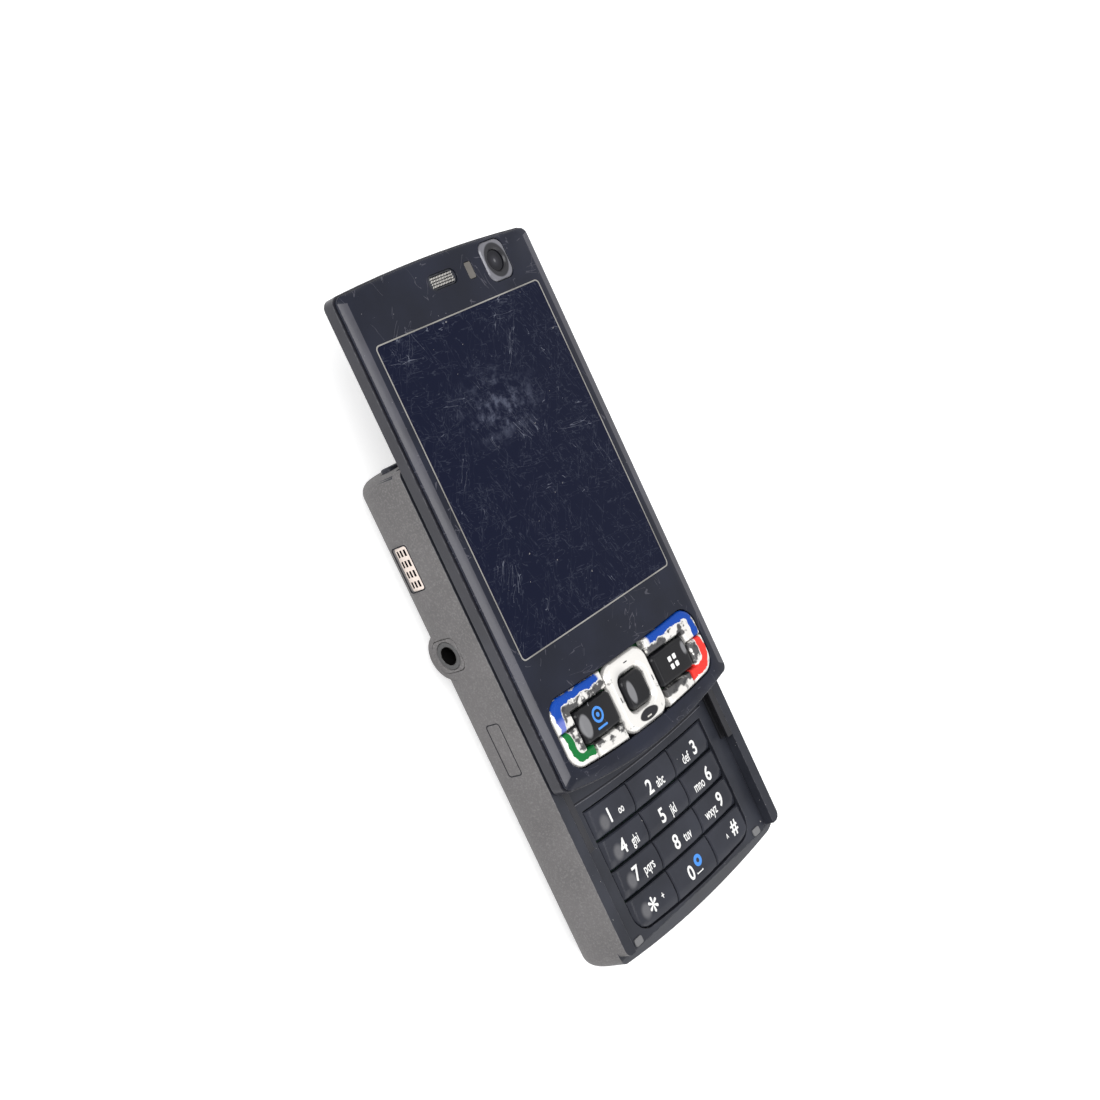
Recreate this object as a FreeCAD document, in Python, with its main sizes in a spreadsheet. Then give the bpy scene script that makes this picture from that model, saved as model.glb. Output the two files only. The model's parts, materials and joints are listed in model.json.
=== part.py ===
import FreeCAD, Part
import math
import os
import Sketcher
from FreeCAD import Vector

# A pocket phone whose front half slides both ways over its base.
# Millimetres. The phone lies on its back: X across, Y to the earpiece end, Z out of the front face.
# The origin is the middle of the base's flat back. The slide is drawn closed and placed open.

SIZES = [
    ("phone_width", 53.0, "across the side walls"),
    ("phone_length", 99.0, "base, middle of one end to middle of the other"),
    ("wall_level", 16.8, "top of the side walls"),
    ("deck_level", 14.7, "top of the keypad deck"),
    ("slide_floor", 15.2, "underside of the slide's narrow keel"),
    ("slide_edge", 17.2, "underside of the slide's wide tray"),
    ("tray_level", 19.8, "top of the slide's tray walls"),
    ("cover_under", 20.0, "underside of the front cover's plate"),
    ("front_level", 21.0, "front face"),
    ("top_bend", 350.0, "radius of the earpiece ends"),
    ("base_bend", 173.0, "radius of the base's lower end"),
    ("slide_bend", 119.0, "radius of the slide's lower end"),
    ("row_bend", 390.0, "radius of the key rows"),
    ("key_end_bend", 185.0, "radius of the lowest key edges"),
    ("back_round", 10.0, "long back edges"),
    ("end_round", 2.5, "ends of the base"),
    ("corner_round", 1.5, "upright corners of the walls and the deck"),
    ("tray_corner", 1.8, "upright corners of the slide's tray"),
    ("cover_corner", 1.5, "upright corners of the front cover"),
    ("edge_break", 0.25, "broken edges"),
    ("side_wall", 2.4, "thickness of the side walls at the slide"),
    ("end_wall", 2.9, "thickness of the end walls"),
    ("wall_setback", 3.6, "from the base's lower end to the ends of its side walls"),
    ("chin_drop", 1.8, "how far the chin falls"),
    ("chin_length", 3.2, "length of the chin's slope"),
    ("fit_gap", 0.1, "between pieces of one body"),
    ("run_gap", 0.25, "beside pieces that move"),
    ("deck_thick", 1.2, "keypad deck"),
    ("deck_ledge", 1.2, "ledge under the deck's edge"),
    ("mid_floor", 8.6, "top of the wall between battery and boards"),
    ("mid_wall", 1.0, "wall between battery and boards"),
    ("back_skin", 1.6, "back wall over the camera"),
    ("cover_thick", 1.3, "battery cover"),
    ("cover_width", 42.0, "battery cover"),
    ("cover_above", 5.0, "upper edge of the battery cover, above the battery"),
    ("cover_round", 3.0, "upper corners of the battery cover"),
    ("button_half", 3.0, "half width of the release button"),
    ("button_above", 0.8, "release button above the battery cover"),
    ("button_tall", 1.8, "release button"),
    ("battery_width", 38.0, "battery"),
    ("battery_length", 52.0, "battery"),
    ("battery_thick", 5.9, "battery"),
    ("battery_end", -42.0, "lower end of the battery"),
    ("battery_gap", 0.3, "round the battery"),
    ("board_thick", 0.8, "main board"),
    ("board_width", 36.0, "main board"),
    ("board_end", -43.6, "lower end of the main board"),
    ("board_top", 45.0, "upper end of the main board"),
    ("shield_level", 12.2, "top of the shield cans"),
    ("dome_thick", 0.5, "dome sheets and key boards"),
    ("post_radius", 1.8, "screw posts"),
    ("post_x", 21.0, "screw posts"),
    ("post_low", -14.0, "lower screw posts"),
    ("post_high", 40.5, "upper screw posts"),
    ("screw_radius", 0.6, "screw shanks"),
    ("head_radius", 1.1, "screw heads"),
    ("head_thick", 0.6, "screw heads"),
    ("screw_length", 4.5, "screws under their heads"),
    ("keys_half", 19.3, "half width of the number keys"),
    ("seam_x", 6.8, "seams between key columns"),
    ("seam_bow", 0.35, "bow of the seams"),
    ("row_top", -20.9, "top of the first key row"),
    ("row_pitch", 6.05, "pitch of the key rows"),
    ("keys_end", -45.8, "lower edge of the last key row"),
    ("keys_round", 3.8, "lower corners of the number keys"),
    ("key_seam", 0.3, "seam between neighbouring keys"),
    ("key_level", 14.95, "top of the number keys"),
    ("key_thick", 1.45, "number keys"),
    ("key_travel", 0.25, "travel of a key"),
    ("dome_gap", 0.05, "between a pressed plunger and its board"),
    ("nub_radius", 1.4, "plunger under a key"),
    ("nub_length", 0.3, "plunger under a key"),
    ("small_nub", 0.9, "radius of the plungers under the front keys"),
    ("media_half", 19.3, "half width of the media keys"),
    ("media_low", 38.0, "lower edge of the media keys"),
    ("media_high", 45.0, "upper edge of the media keys"),
    ("rail_start", -26.3, "lower end of the rails"),
    ("rail_end", 46.4, "upper end of the rails"),
    ("rail_depth", 1.5, "rails, across"),
    ("rail_web", 0.6, "upright of the rails"),
    ("rail_flange", 0.45, "flanges of the rails"),
    ("tongue_thick", 0.7, "runner plate and its tongues"),
    ("tongue_start", -11.8, "lower end of the tongues"),
    ("tongue_end", 14.2, "upper end of the tongues"),
    ("pad_x", 20.6, "rubber pads on the chin"),
    ("jack_above", 5.3, "middle of the audio socket, above the battery"),
    ("jack_z", 8.3, "audio socket"),
    ("jack_bore", 3.5, "audio socket"),
    ("jack_depth", 13.0, "audio socket"),
    ("jack_ring", 6.0, "ring round the audio socket"),
    ("jack_boss", 4.7, "radius of the swelling round the audio socket"),
    ("jack_seat", 1.6, "depth of the audio socket's bezel"),
    ("bezel_half", 3.05, "half of the square bezel"),
    ("grille_low", 28.0, "lower end of the side grilles"),
    ("grille_high", 36.2, "upper end of the side grilles"),
    ("grille_under", 6.9, "back edge of the side grilles"),
    ("grille_over", 10.4, "front edge of the side grilles"),
    ("grille_thick", 0.6, "side grilles"),
    ("slot_long", 1.2, "slots of the side grilles"),
    ("slot_wide", 0.55, "slots of the side grilles"),
    ("window_low", -8.6, "lower end of the infrared window"),
    ("window_high", 1.2, "upper end of the infrared window"),
    ("window_under", 9.3, "back edge of the infrared window"),
    ("window_over", 12.3, "front edge of the infrared window"),
    ("window_thick", 0.8, "infrared window"),
    ("side_key_z", 11.4, "middle of the side keys"),
    ("side_key_half", 1.3, "half height of the side keys"),
    ("side_key_proud", 0.5, "how far the side keys stand out"),
    ("side_key_deep", 2.6, "side keys, across"),
    ("side_travel", 0.35, "travel of a side key"),
    ("volume_low", 9.3, "lower end of the volume key"),
    ("volume_high", 23.3, "upper end of the volume key"),
    ("review_low", -4.0, "lower end of the review key"),
    ("review_high", 1.0, "upper end of the review key"),
    ("capture_low", -23.0, "lower end of the capture key"),
    ("capture_high", -14.0, "upper end of the capture key"),
    ("switch_half", 1.8, "half length of a side key's switch"),
    ("camera_x", 4.0, "rear camera"),
    ("camera_y", 32.5, "rear camera"),
    ("camera_half", 5.0, "half of the rear camera's square body"),
    ("camera_ring_out", 6.6, "outer radius of the rear camera's ring"),
    ("camera_ring_in", 4.2, "inner radius of the rear camera's ring"),
    ("flash_x", -9.0, "flash"),
    ("flash_radius", 1.9, "flash"),
    ("room_half", 18.0, "half width of the space round the rear camera"),
    ("speaker_x", 18.2, "inner side of the speaker boxes"),
    ("charge_x", -9.0, "charger socket"),
    ("charge_bore", 2.4, "charger socket"),
    ("charge_radius", 2.5, "outer radius of the charger socket"),
    ("data_x", 5.0, "data socket"),
    ("data_half", 3.5, "half width of the data socket's mouth"),
    ("data_tall", 1.3, "half height of the data socket's mouth"),
    ("data_wall", 0.6, "shell of the data socket"),
    ("socket_depth", 5.0, "sockets of the lower end"),
    ("socket_inset", 0.6, "sockets behind the lower end"),
    ("socket_z", 7.6, "sockets of the lower end"),
    ("power_x", -17.4, "power key"),
    ("power_z", 9.1, "power key"),
    ("power_half", 5.0, "half length of the power key"),
    ("power_tall", 1.4, "half height of the power key"),
    ("power_deep", 3.2, "power key, along the phone"),
    ("slide_top_inset", 1.05, "closed slide inside the base's upper end"),
    ("slide_low_inset", 0.75, "closed slide inside the base's lower end"),
    ("slide_wall", 1.2, "tray walls of the slide"),
    ("keel_inset", 2.6, "keel inside the slide's ends"),
    ("cover_inset", 0.35, "front cover inside the tray"),
    ("bevel_width", 1.85, "side bevels of the front cover"),
    ("bevel_low", 1.4, "lower bevel of the front cover"),
    ("bevel_high", 0.6, "upper bevel of the front cover"),
    ("bevel_drop", 0.4, "height of the front cover's bevel"),
    ("glass_half", 22.75, "display window"),
    ("glass_low", -22.0, "lower edge of the display window"),
    ("glass_high", 37.1, "upper edge of the display window"),
    ("glass_thick", 0.7, "display window"),
    ("glass_lip", 1.0, "ledge under the display window"),
    ("panel_under", 16.7, "back of the display module"),
    ("panel_thick", 2.7, "display module"),
    ("cluster_half", 22.9, "front keys"),
    ("cluster_high", -31.1, "upper edge of the front keys, at the middle"),
    ("cluster_low", -44.75, "lower edge of the front keys, at the middle"),
    ("cluster_round", 3.6, "outer corners of the front keys"),
    ("ring_half", 6.5, "direction ring"),
    ("ring_high", -31.0, "upper edge of the direction ring"),
    ("ring_low", -44.9, "lower edge of the direction ring"),
    ("ring_round", 3.0, "corners of the direction ring"),
    ("select_half", 3.35, "centre key"),
    ("select_high", -34.6, "centre key"),
    ("select_low", -41.1, "centre key"),
    ("panel_key_out", 17.5, "outer edge of the two dark keys"),
    ("soft_split", -36.6, "between soft keys and call keys"),
    ("call_split", 15.7, "between call keys and the lower keys"),
    ("front_key_level", 21.35, "top of the front keys"),
    ("front_key_under", 19.55, "underside of the front keys"),
    ("function_under", 17.65, "underside of the front keys' board"),
    ("ring_tilt_gap", 0.35, "direction ring above the other front keys' undersides"),
    ("gimbal_border", 2.0, "width of the gimbal frame under the direction ring"),
    ("gimbal_thick", 0.35, "gimbal frame"),
    ("gimbal_pin", 0.3, "radius of the gimbal's pins"),
    ("pin_gap", 0.05, "over and under the gimbal's pins"),
    ("ear_x", -0.6, "earpiece"),
    ("ear_y", 43.55, "earpiece"),
    ("ear_half", 3.7, "half length of the earpiece"),
    ("ear_high", 2.7, "height of the earpiece"),
    ("ear_slots", 5.0, "slots of the earpiece"),
    ("ear_pitch", 0.5, "pitch of the earpiece's slots"),
    ("ear_slot", 0.2, "width of the earpiece's slots"),
    ("eye_x", 14.5, "front camera"),
    ("eye_y", 43.3, "front camera"),
    ("eye_half", 3.4, "half width of the front camera's bezel"),
    ("eye_tall", 3.8, "half height of the front camera's bezel"),
    ("eye_lens", 2.0, "radius of the front camera's lens"),
    ("sensor_x", 7.0, "light sensor"),
    ("sensor_half", 0.85, "half width of the light sensor"),
    ("sensor_tall", 1.55, "half height of the light sensor"),
    ("number_travel", 31.8, "travel of the slide to show the number keys"),
]


class Size:
    """A length: its value, and the expression that keeps it tied to the sheet."""

    def __init__(self, text, value):
        self.text = text
        self.value = value

    def __add__(self, other):
        other = as_size(other)
        return Size("(%s + %s)" % (self.text, other.text), self.value + other.value)

    def __sub__(self, other):
        other = as_size(other)
        return Size("(%s - %s)" % (self.text, other.text), self.value - other.value)

    def __mul__(self, other):
        other = as_size(other)
        return Size("(%s * %s)" % (self.text, other.text), self.value * other.value)

    def __truediv__(self, other):
        other = as_size(other)
        return Size("(%s / %s)" % (self.text, other.text), self.value / other.value)

    def __neg__(self):
        return Size("(0 - %s)" % self.text, -self.value)

    def __rsub__(self, other):
        return as_size(other) - self

    __radd__ = __add__
    __rmul__ = __mul__


def as_size(number):
    if isinstance(number, Size):
        return number
    return Size(repr(float(number)), float(number))


def root(size):
    return Size("sqrt(%s)" % size.text, math.sqrt(size.value))


doc = FreeCAD.newDocument("slider_phone")
sheet = doc.addObject("Spreadsheet::Sheet", "dims")


class Sizes:
    """The driving sizes by name."""


size = Sizes()
for row, (alias, number, note) in enumerate(SIZES, start=1):
    sheet.set("A%d" % row, alias)
    sheet.set("B%d" % row, str(number))
    sheet.setAlias("B%d" % row, alias)
    sheet.set("C%d" % row, note)
doc.recompute()
for alias, number, note in SIZES:
    setattr(size, alias, Size("dims." + alias, float(sheet.get(alias))))

half_width = size.phone_width / 2
base_end = size.phone_length / -2
base_top = size.phone_length / 2
slide_end = base_end + size.slide_low_inset
slide_top = base_top - size.slide_top_inset
battery_top = size.battery_end + size.battery_length
cover_top = battery_top + size.cover_above
jack_y = battery_top + size.jack_above
front_board = size.front_key_under - size.nub_length - size.key_travel - size.dome_gap

pieces = []

# Outlines: lists of corners (x, y, bend), where bend shapes the edge to the next corner.
# None is a straight edge, a Size is an arc that swells to the right of the way round.
# A pair (Size, "hollow") is an arc that swells to the left.


def bent_end(mid_y, bend, x):
    """Height of an arc through (0, mid_y) at x, with its centre on the +Y side."""
    return mid_y + bend - root(bend * bend - x * x)


def bent_top(mid_y, bend, x):
    """Height of an arc through (0, mid_y) at x, with its centre on the -Y side."""
    return mid_y - bend + root(bend * bend - x * x)


def barrel(half, low, low_bend, high, high_bend):
    """An outline with straight sides and bowed ends."""
    low_y = bent_end(low, low_bend, half)
    high_y = bent_top(high, high_bend, half)
    return [(-half, high_y, None), (-half, low_y, low_bend), (half, low_y, None), (half, high_y, high_bend)]


def rounded(left, right, low, high, corner):
    """A rectangle with four rounded corners."""
    left, right, low, high, corner = (as_size(edge) for edge in (left, right, low, high, corner))
    return [(left + corner, low, None), (right - corner, low, corner),
            (right, low + corner, None), (right, high - corner, corner),
            (right - corner, high, None), (left + corner, high, corner),
            (left, high - corner, None), (left, low + corner, corner)]


def square(left, right, low, high):
    """A plain rectangle."""
    left, right, low, high = (as_size(edge) for edge in (left, right, low, high))
    return [(left, low, None), (right, low, None), (right, high, None), (left, high, None)]


def mirrored(outline):
    """The outline on the other side of the middle."""
    turned = []
    for x, y, bend in outline:
        if isinstance(bend, Size):
            bend = (bend, "hollow")
        elif bend:
            bend = bend[0]
        turned.append((-x, y, bend))
    return turned


def arc_geometry(start, end, bend):
    """An arc between two points, and which of its ends is the first point."""
    hollow = not isinstance(bend, Size)
    radius = bend[0].value if hollow else bend.value
    chord = end - start
    middle = (start + end) * 0.5
    left = Vector(-chord.y, chord.x, 0)
    left.normalize()
    rise = math.sqrt(max(radius ** 2 - (chord.Length / 2) ** 2, 0.0))
    centre = middle - left * rise if hollow else middle + left * rise
    first, last = (end, start) if hollow else (start, end)
    angle_1 = math.atan2(first.y - centre.y, first.x - centre.x)
    angle_2 = math.atan2(last.y - centre.y, last.x - centre.x)
    if angle_2 < angle_1:
        angle_2 += 2 * math.pi
    circle = Part.Circle(centre, Vector(0, 0, 1), radius)
    return Part.ArcOfCircle(circle, angle_1, angle_2), (2, 1) if hollow else (1, 2)


def draw(sketch, outline):
    """Draws a closed outline in a sketch, every corner and radius tied to the sheet."""
    first = sketch.GeometryCount
    count = len(outline)
    points = [Vector(x.value, y.value, 0) for x, y, bend in outline]
    shapes = []
    ends = []
    for i, (x, y, bend) in enumerate(outline):
        start, end = points[i], points[(i + 1) % count]
        if bend is None:
            shapes.append(Part.LineSegment(start, end))
            ends.append((1, 2))
        else:
            arc, order = arc_geometry(start, end, bend)
            shapes.append(arc)
            ends.append(order)
    sketch.addGeometry(shapes, False)
    rules = []
    ties = []
    for i, (x, y, bend) in enumerate(outline):
        start = ends[i][0]
        after = (i + 1) % count
        rules.append(Sketcher.Constraint("Coincident", first + i, ends[i][1], first + after, ends[after][0]))
        ties.append(None)
        rules.append(Sketcher.Constraint("DistanceX", -1, 1, first + i, start, x.value))
        ties.append(x)
        rules.append(Sketcher.Constraint("DistanceY", -1, 1, first + i, start, y.value))
        ties.append(y)
        if bend is not None:
            radius = bend if isinstance(bend, Size) else bend[0]
            rules.append(Sketcher.Constraint("Radius", first + i, radius.value))
            ties.append(radius)
    tie(sketch, rules, ties)


def draw_circle(sketch, x, y, radius):
    x, y, radius = as_size(x), as_size(y), as_size(radius)
    number = sketch.addGeometry(Part.Circle(Vector(x.value, y.value, 0), Vector(0, 0, 1), radius.value), False)
    rules = [Sketcher.Constraint("DistanceX", -1, 1, number, 3, x.value),
             Sketcher.Constraint("DistanceY", -1, 1, number, 3, y.value),
             Sketcher.Constraint("Radius", number, radius.value)]
    tie(sketch, rules, [x, y, radius])


def tie(sketch, rules, ties):
    """Adds constraints and binds each to its expression."""
    first = sketch.ConstraintCount
    sketch.addConstraint(rules)
    for i, bound in enumerate(ties):
        if bound is not None and "dims." in bound.text:
            sketch.setExpression("Constraints[%d]" % (first + i), bound.text)


ROLES = {"front": "XY_Plane", "end": "XZ_Plane", "side": "YZ_Plane"}


class Piece:
    """One sub-part: a body built feature by feature."""

    def __init__(self, label, slides=False):
        self.label = label
        self.body = doc.addObject("PartDesign::Body", label)
        self.body.Label = label
        if slides:
            self.body.setExpression("Placement.Base.y", size.number_travel.text)
        pieces.append(self.body)

    def sketch(self, view, level, outlines, circles=()):
        """A sketch on a plane of the body: front looks along Z, side along X, end along Y."""
        sketch = self.body.newObject("Sketcher::SketchObject", self.label + "_sketch")
        plane = next(item for item in self.body.Origin.OriginFeatures if item.Role == ROLES[view])
        sketch.AttachmentSupport = [(plane, "")]
        sketch.MapMode = "FlatFace"
        level = as_size(level)
        if view == "end":
            level = -level
        sketch.setExpression("AttachmentOffset.Base.z", level.text)
        for outline in outlines:
            draw(sketch, outline)
        for circle in circles:
            draw_circle(sketch, *circle)
        return sketch

    def feature(self, kind, sketch, length, reverse):
        item = self.body.newObject("PartDesign::" + kind, "%s_%s" % (self.label, kind.lower()))
        item.Profile = sketch
        item.setExpression("Length", as_size(length).text)
        item.Reversed = reverse
        sketch.Visibility = False
        return item

    def pad(self, low, high, *outlines, view="front", circles=()):
        """Adds material between two levels of a view."""
        low, high = as_size(low), as_size(high)
        sketch = self.sketch(view, low, outlines, circles)
        return self.feature("Pad", sketch, high - low, view == "end")

    def pocket(self, low, high, *outlines, view="front", circles=()):
        """Takes material away between two levels of a view."""
        low, high = as_size(low), as_size(high)
        sketch = self.sketch(view, high, outlines, circles)
        return self.feature("Pocket", sketch, high - low, view == "end")

    def loft(self, low, low_outline, high, high_outline):
        """Adds material that changes from one outline to another."""
        low_sketch = self.sketch("front", low, [low_outline])
        high_sketch = self.sketch("front", high, [high_outline])
        item = self.body.newObject("PartDesign::AdditiveLoft", self.label + "_loft")
        item.Profile = low_sketch
        item.Sections = [high_sketch]
        return item

    def edges(self, test):
        doc.recompute()
        shape = self.body.Tip.Shape
        return ["Edge%d" % number for number, edge in enumerate(shape.Edges, start=1)
                if test(edge.valueAt((edge.FirstParameter + edge.LastParameter) / 2), edge)]

    def fillet(self, radius, test):
        """Rounds the edges that pass a test on their middle point."""
        names = self.edges(test)
        item = self.body.newObject("PartDesign::Fillet", self.label + "_fillet")
        item.Base = (self.body.Group[-2], names)
        item.setExpression("Radius", as_size(radius).text)
        return item

    def chamfer(self, width, test):
        """Breaks the edges that pass a test on their middle point."""
        names = self.edges(test)
        item = self.body.newObject("PartDesign::Chamfer", self.label + "_chamfer")
        item.Base = (self.body.Group[-2], names)
        item.setExpression("Size", as_size(width).text)
        return item


def near(number, other, slack=0.01):
    return abs(number - other) < slack


def upright(edge):
    """Whether an edge runs straight along Z."""
    return len(edge.Vertexes) == 2 and all(
        near(getattr(edge.Vertexes[0].Point, axis), getattr(edge.Vertexes[1].Point, axis)) for axis in "xy")


def base_blank(piece, high):
    """The outer form of the base: bowed ends, deeply rounded long edges at the back, softened ends."""
    piece.pad(0, high, barrel(half_width, base_end, size.base_bend, base_top, size.top_bend))
    side = half_width.value
    piece.fillet(size.back_round, lambda point, edge: near(point.z, 0) and near(abs(point.x), side))
    end = bent_top(base_top, size.top_bend, half_width).value
    low = bent_end(base_end, size.base_bend, half_width).value
    top = as_size(high).value

    def on_end(point, edge):
        beyond = all(v.Point.y > end - 0.01 or v.Point.y < low + 0.01 for v in edge.Vertexes)
        return beyond and (point.y > end - 0.01 or point.y < low + 0.01) and point.z < top - 0.01

    piece.fillet(size.end_round, on_end)


def make_base_housing():
    piece = Piece("base_housing")
    base_blank(piece, size.deck_level)
    wall_in = half_width - size.side_wall
    wall_end = base_end + size.wall_setback
    for hand in (-1, 1):
        wall_top = bent_top(base_top, size.top_bend, half_width)
        inner, outer = wall_in * hand, half_width * hand
        corner = size.corner_round
        outline = [(inner, wall_top, None), (inner, wall_end, None), (outer - corner * hand, wall_end, corner),
                   (outer, wall_end + corner, None), (outer, wall_top - corner, corner),
                   (outer - corner * hand, wall_top, None)]
        if hand < 0:
            outline = mirrored([(-x, y, bend) for x, y, bend in outline])
        piece.pad(size.deck_level, size.wall_level, outline)
    slope = size.chin_length
    chin = [(base_end + slope, size.deck_level, None), (base_end - 1, size.deck_level, None),
            (base_end - 1, size.deck_level - size.chin_drop * (slope + 1) / slope, None)]
    piece.pocket(-half_width - 1, half_width + 1, chin, view="side")
    deck_low = base_end + size.end_wall
    deck_high = base_top - size.end_wall
    deck_under = size.deck_level - size.deck_thick
    piece.pocket(deck_under, size.deck_level, rounded(-wall_in, wall_in, deck_low, deck_high, size.corner_round))
    ledge = size.deck_ledge
    piece.pocket(size.mid_floor, deck_under,
                 rounded(ledge - wall_in, wall_in - ledge, deck_low + ledge, deck_high - ledge, size.corner_round))
    add_back_openings(piece)
    add_side_openings(piece)
    add_posts(piece)
    press_floor = deck_under - size.key_travel - size.fit_gap
    piece.pocket(press_floor, deck_under, deck_outline(size.run_gap), media_outline(size.run_gap))


def add_back_openings(piece):
    """Recess of the battery cover, battery bay, camera space and camera opening."""
    gap = size.fit_gap
    half = size.cover_width / 2 + gap
    recess = rounded(-half, half, base_end - 5, cover_top + gap, size.cover_round)
    piece.pocket(-1, size.cover_thick + gap, recess)
    side = size.battery_width / 2 + size.battery_gap
    low = size.battery_end - size.battery_gap
    high = battery_top + size.battery_gap
    piece.pocket(size.cover_thick, size.mid_floor - size.mid_wall, rounded(-side, side, low, high, 1))
    room_low = cover_top + 4
    room_high = base_top - size.end_wall - size.deck_ledge
    room = size.room_half
    piece.pocket(size.back_skin, size.mid_floor, rounded(-room, room, room_low, room_high, 1))
    ring = size.camera_ring_out + gap
    flash = size.flash_radius + gap
    piece.pocket(-1, size.back_skin, circles=[(size.camera_x, size.camera_y, ring),
                                              (size.flash_x, size.camera_y, flash)])
    play = gap * 2
    latch_half = size.button_half + play
    latch_low = cover_top + size.button_above - play
    latch_high = cover_top + size.button_above + size.button_tall + play
    latch = rounded(-latch_half, latch_half, latch_low, latch_high, 1)
    piece.pocket(-1, size.back_skin + 1.4, latch)


def add_side_openings(piece):
    """Openings and seats in the side and end walls."""
    gap = size.fit_gap
    piece.pad(-half_width + 0.15, -half_width + 3.6, view="side", circles=[(jack_y, size.jack_z, size.jack_boss)])
    half = size.bezel_half + gap
    bezel = rounded(jack_y - half, jack_y + half, size.jack_z - half, size.jack_z + half, 1.6)
    piece.pocket(-half_width - 1, -half_width + 6, bezel, view="side")
    jack_seat = square(jack_y - half, jack_y + half, size.jack_z - half, size.jack_z + half)
    piece.pocket(-half_width + size.jack_seat, -half_width + size.jack_depth + 2.5, jack_seat, view="side")
    for hand in (-1, 1):
        grille = rounded(size.grille_low - gap, size.grille_high + gap,
                         size.grille_under - gap, size.grille_over + gap, 0.5)
        room = square(size.grille_low - 2.6, size.grille_high + 2.6, size.grille_under - 1.6, size.mid_floor + 1)
        if hand < 0:
            piece.pocket(-half_width - 1, -half_width + 4, grille, view="side")
            piece.pocket(-half_width + 1.6, 0.7 - size.speaker_x, room, view="side")
        else:
            piece.pocket(half_width - 4, half_width + 1, grille, view="side")
            piece.pocket(size.speaker_x - 0.7, half_width - 1.6, room, view="side")
    window = rounded(size.window_low - gap, size.window_high + gap,
                     size.window_under - gap, size.window_over + gap, 0.6)
    piece.pocket(-half_width - 1, -half_width + size.window_thick + gap, window, view="side")
    run = size.run_gap
    for low, high in SIDE_KEYS.values():
        slot = rounded(low - run, high + run, size.side_key_z - size.side_key_half - run,
                       size.side_key_z + size.side_key_half + run, size.side_key_half)
        piece.pocket(half_width - 6, half_width + 1, slot, view="side")
    data_half = size.data_half + size.data_wall + gap
    data_tall = size.data_tall + size.data_wall + gap
    data = rounded(size.data_x - data_half, size.data_x + data_half,
                   size.socket_z - data_tall, size.socket_z + data_tall, 0.8)
    socket_end = base_end + size.socket_inset + size.socket_depth + 0.6
    piece.pocket(base_end - 1, socket_end, data, view="end",
                 circles=[(size.charge_x, size.socket_z, size.charge_radius + gap)])
    power_half = size.power_half + run
    power_tall = size.power_tall + run
    power = rounded(size.power_x - power_half, size.power_x + power_half,
                    size.power_z - power_tall, size.power_z + power_tall, size.power_tall + 0.2)
    piece.pocket(base_top - size.power_deep - 1.4, base_top + 1, power, view="end")


def add_posts(piece):
    """Four posts with screw bores that carry the deck."""
    deck_under = size.deck_level - size.deck_thick
    spots = [(size.post_x * hand, y) for hand in (-1, 1) for y in (size.post_low, size.post_high)]
    piece.pad(size.mid_floor, deck_under, circles=[(x, y, size.post_radius) for x, y in spots])
    piece.pocket(size.mid_floor, deck_under, circles=[(x, y, size.screw_radius) for x, y in spots])


SIDE_KEYS = {
    "volume_key": (size.volume_low, size.volume_high),
    "review_key": (size.review_low, size.review_high),
    "capture_key": (size.capture_low, size.capture_high),
}


def deck_outline(grow):
    """The opening round the number keys, and with no growth their own outer edge."""
    half = size.keys_half + grow
    corner = size.keys_round + grow
    low = size.keys_end - grow
    high = size.row_top + grow
    inner = half - corner
    low_y = bent_end(low, size.key_end_bend, inner)
    top_y = bent_end(high, size.row_bend, half)
    return [(-half, top_y, None), (-half, low_y + corner, corner), (-inner, low_y, size.key_end_bend),
            (inner, low_y, corner), (half, low_y + corner, None), (half, top_y, (size.row_bend, "hollow"))]


def media_outline(grow):
    """The opening round the media keys."""
    half = size.media_half + grow
    return rounded(-half, half, size.media_low - grow, size.media_high + grow, 1.5)


def make_keypad_deck():
    piece = Piece("keypad_deck")
    gap = size.fit_gap
    half = half_width - size.side_wall - gap
    low = base_end + size.end_wall + gap
    high = base_top - size.end_wall - gap
    under = size.deck_level - size.deck_thick
    piece.pad(under, size.deck_level, rounded(-half, half, low, high, size.corner_round))
    run = size.run_gap
    piece.pocket(under, size.deck_level, deck_outline(run))
    piece.pocket(under, size.deck_level, media_outline(run))
    spots = [(size.post_x * hand, y) for hand in (-1, 1) for y in (size.post_low, size.post_high)]
    piece.pocket(under, size.deck_level, circles=[(x, y, size.screw_radius + gap) for x, y in spots])
    piece.pocket(size.deck_level - size.head_thick, size.deck_level,
                 circles=[(x, y, size.head_radius + gap) for x, y in spots])


def make_deck_screws():
    piece = Piece("deck_screws")
    spots = [(size.post_x * hand, y) for hand in (-1, 1) for y in (size.post_low, size.post_high)]
    seat = size.deck_level - size.head_thick
    for x, y in spots:
        piece.pad(seat, size.deck_level - 0.05, circles=[(x, y, size.head_radius)])
        piece.pad(seat - size.screw_length, seat, circles=[(x, y, size.screw_radius - 0.05)])


def seam(low, high):
    """Radius of a bowed seam between two key columns."""
    tall = high - low
    return (tall * tall / 4 + size.seam_bow * size.seam_bow) / (size.seam_bow * 2)


NUMBER_KEYS = ["key_1", "key_2", "key_3", "key_4", "key_5", "key_6",
               "key_7", "key_8", "key_9", "key_star", "key_0", "key_hash"]


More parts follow.
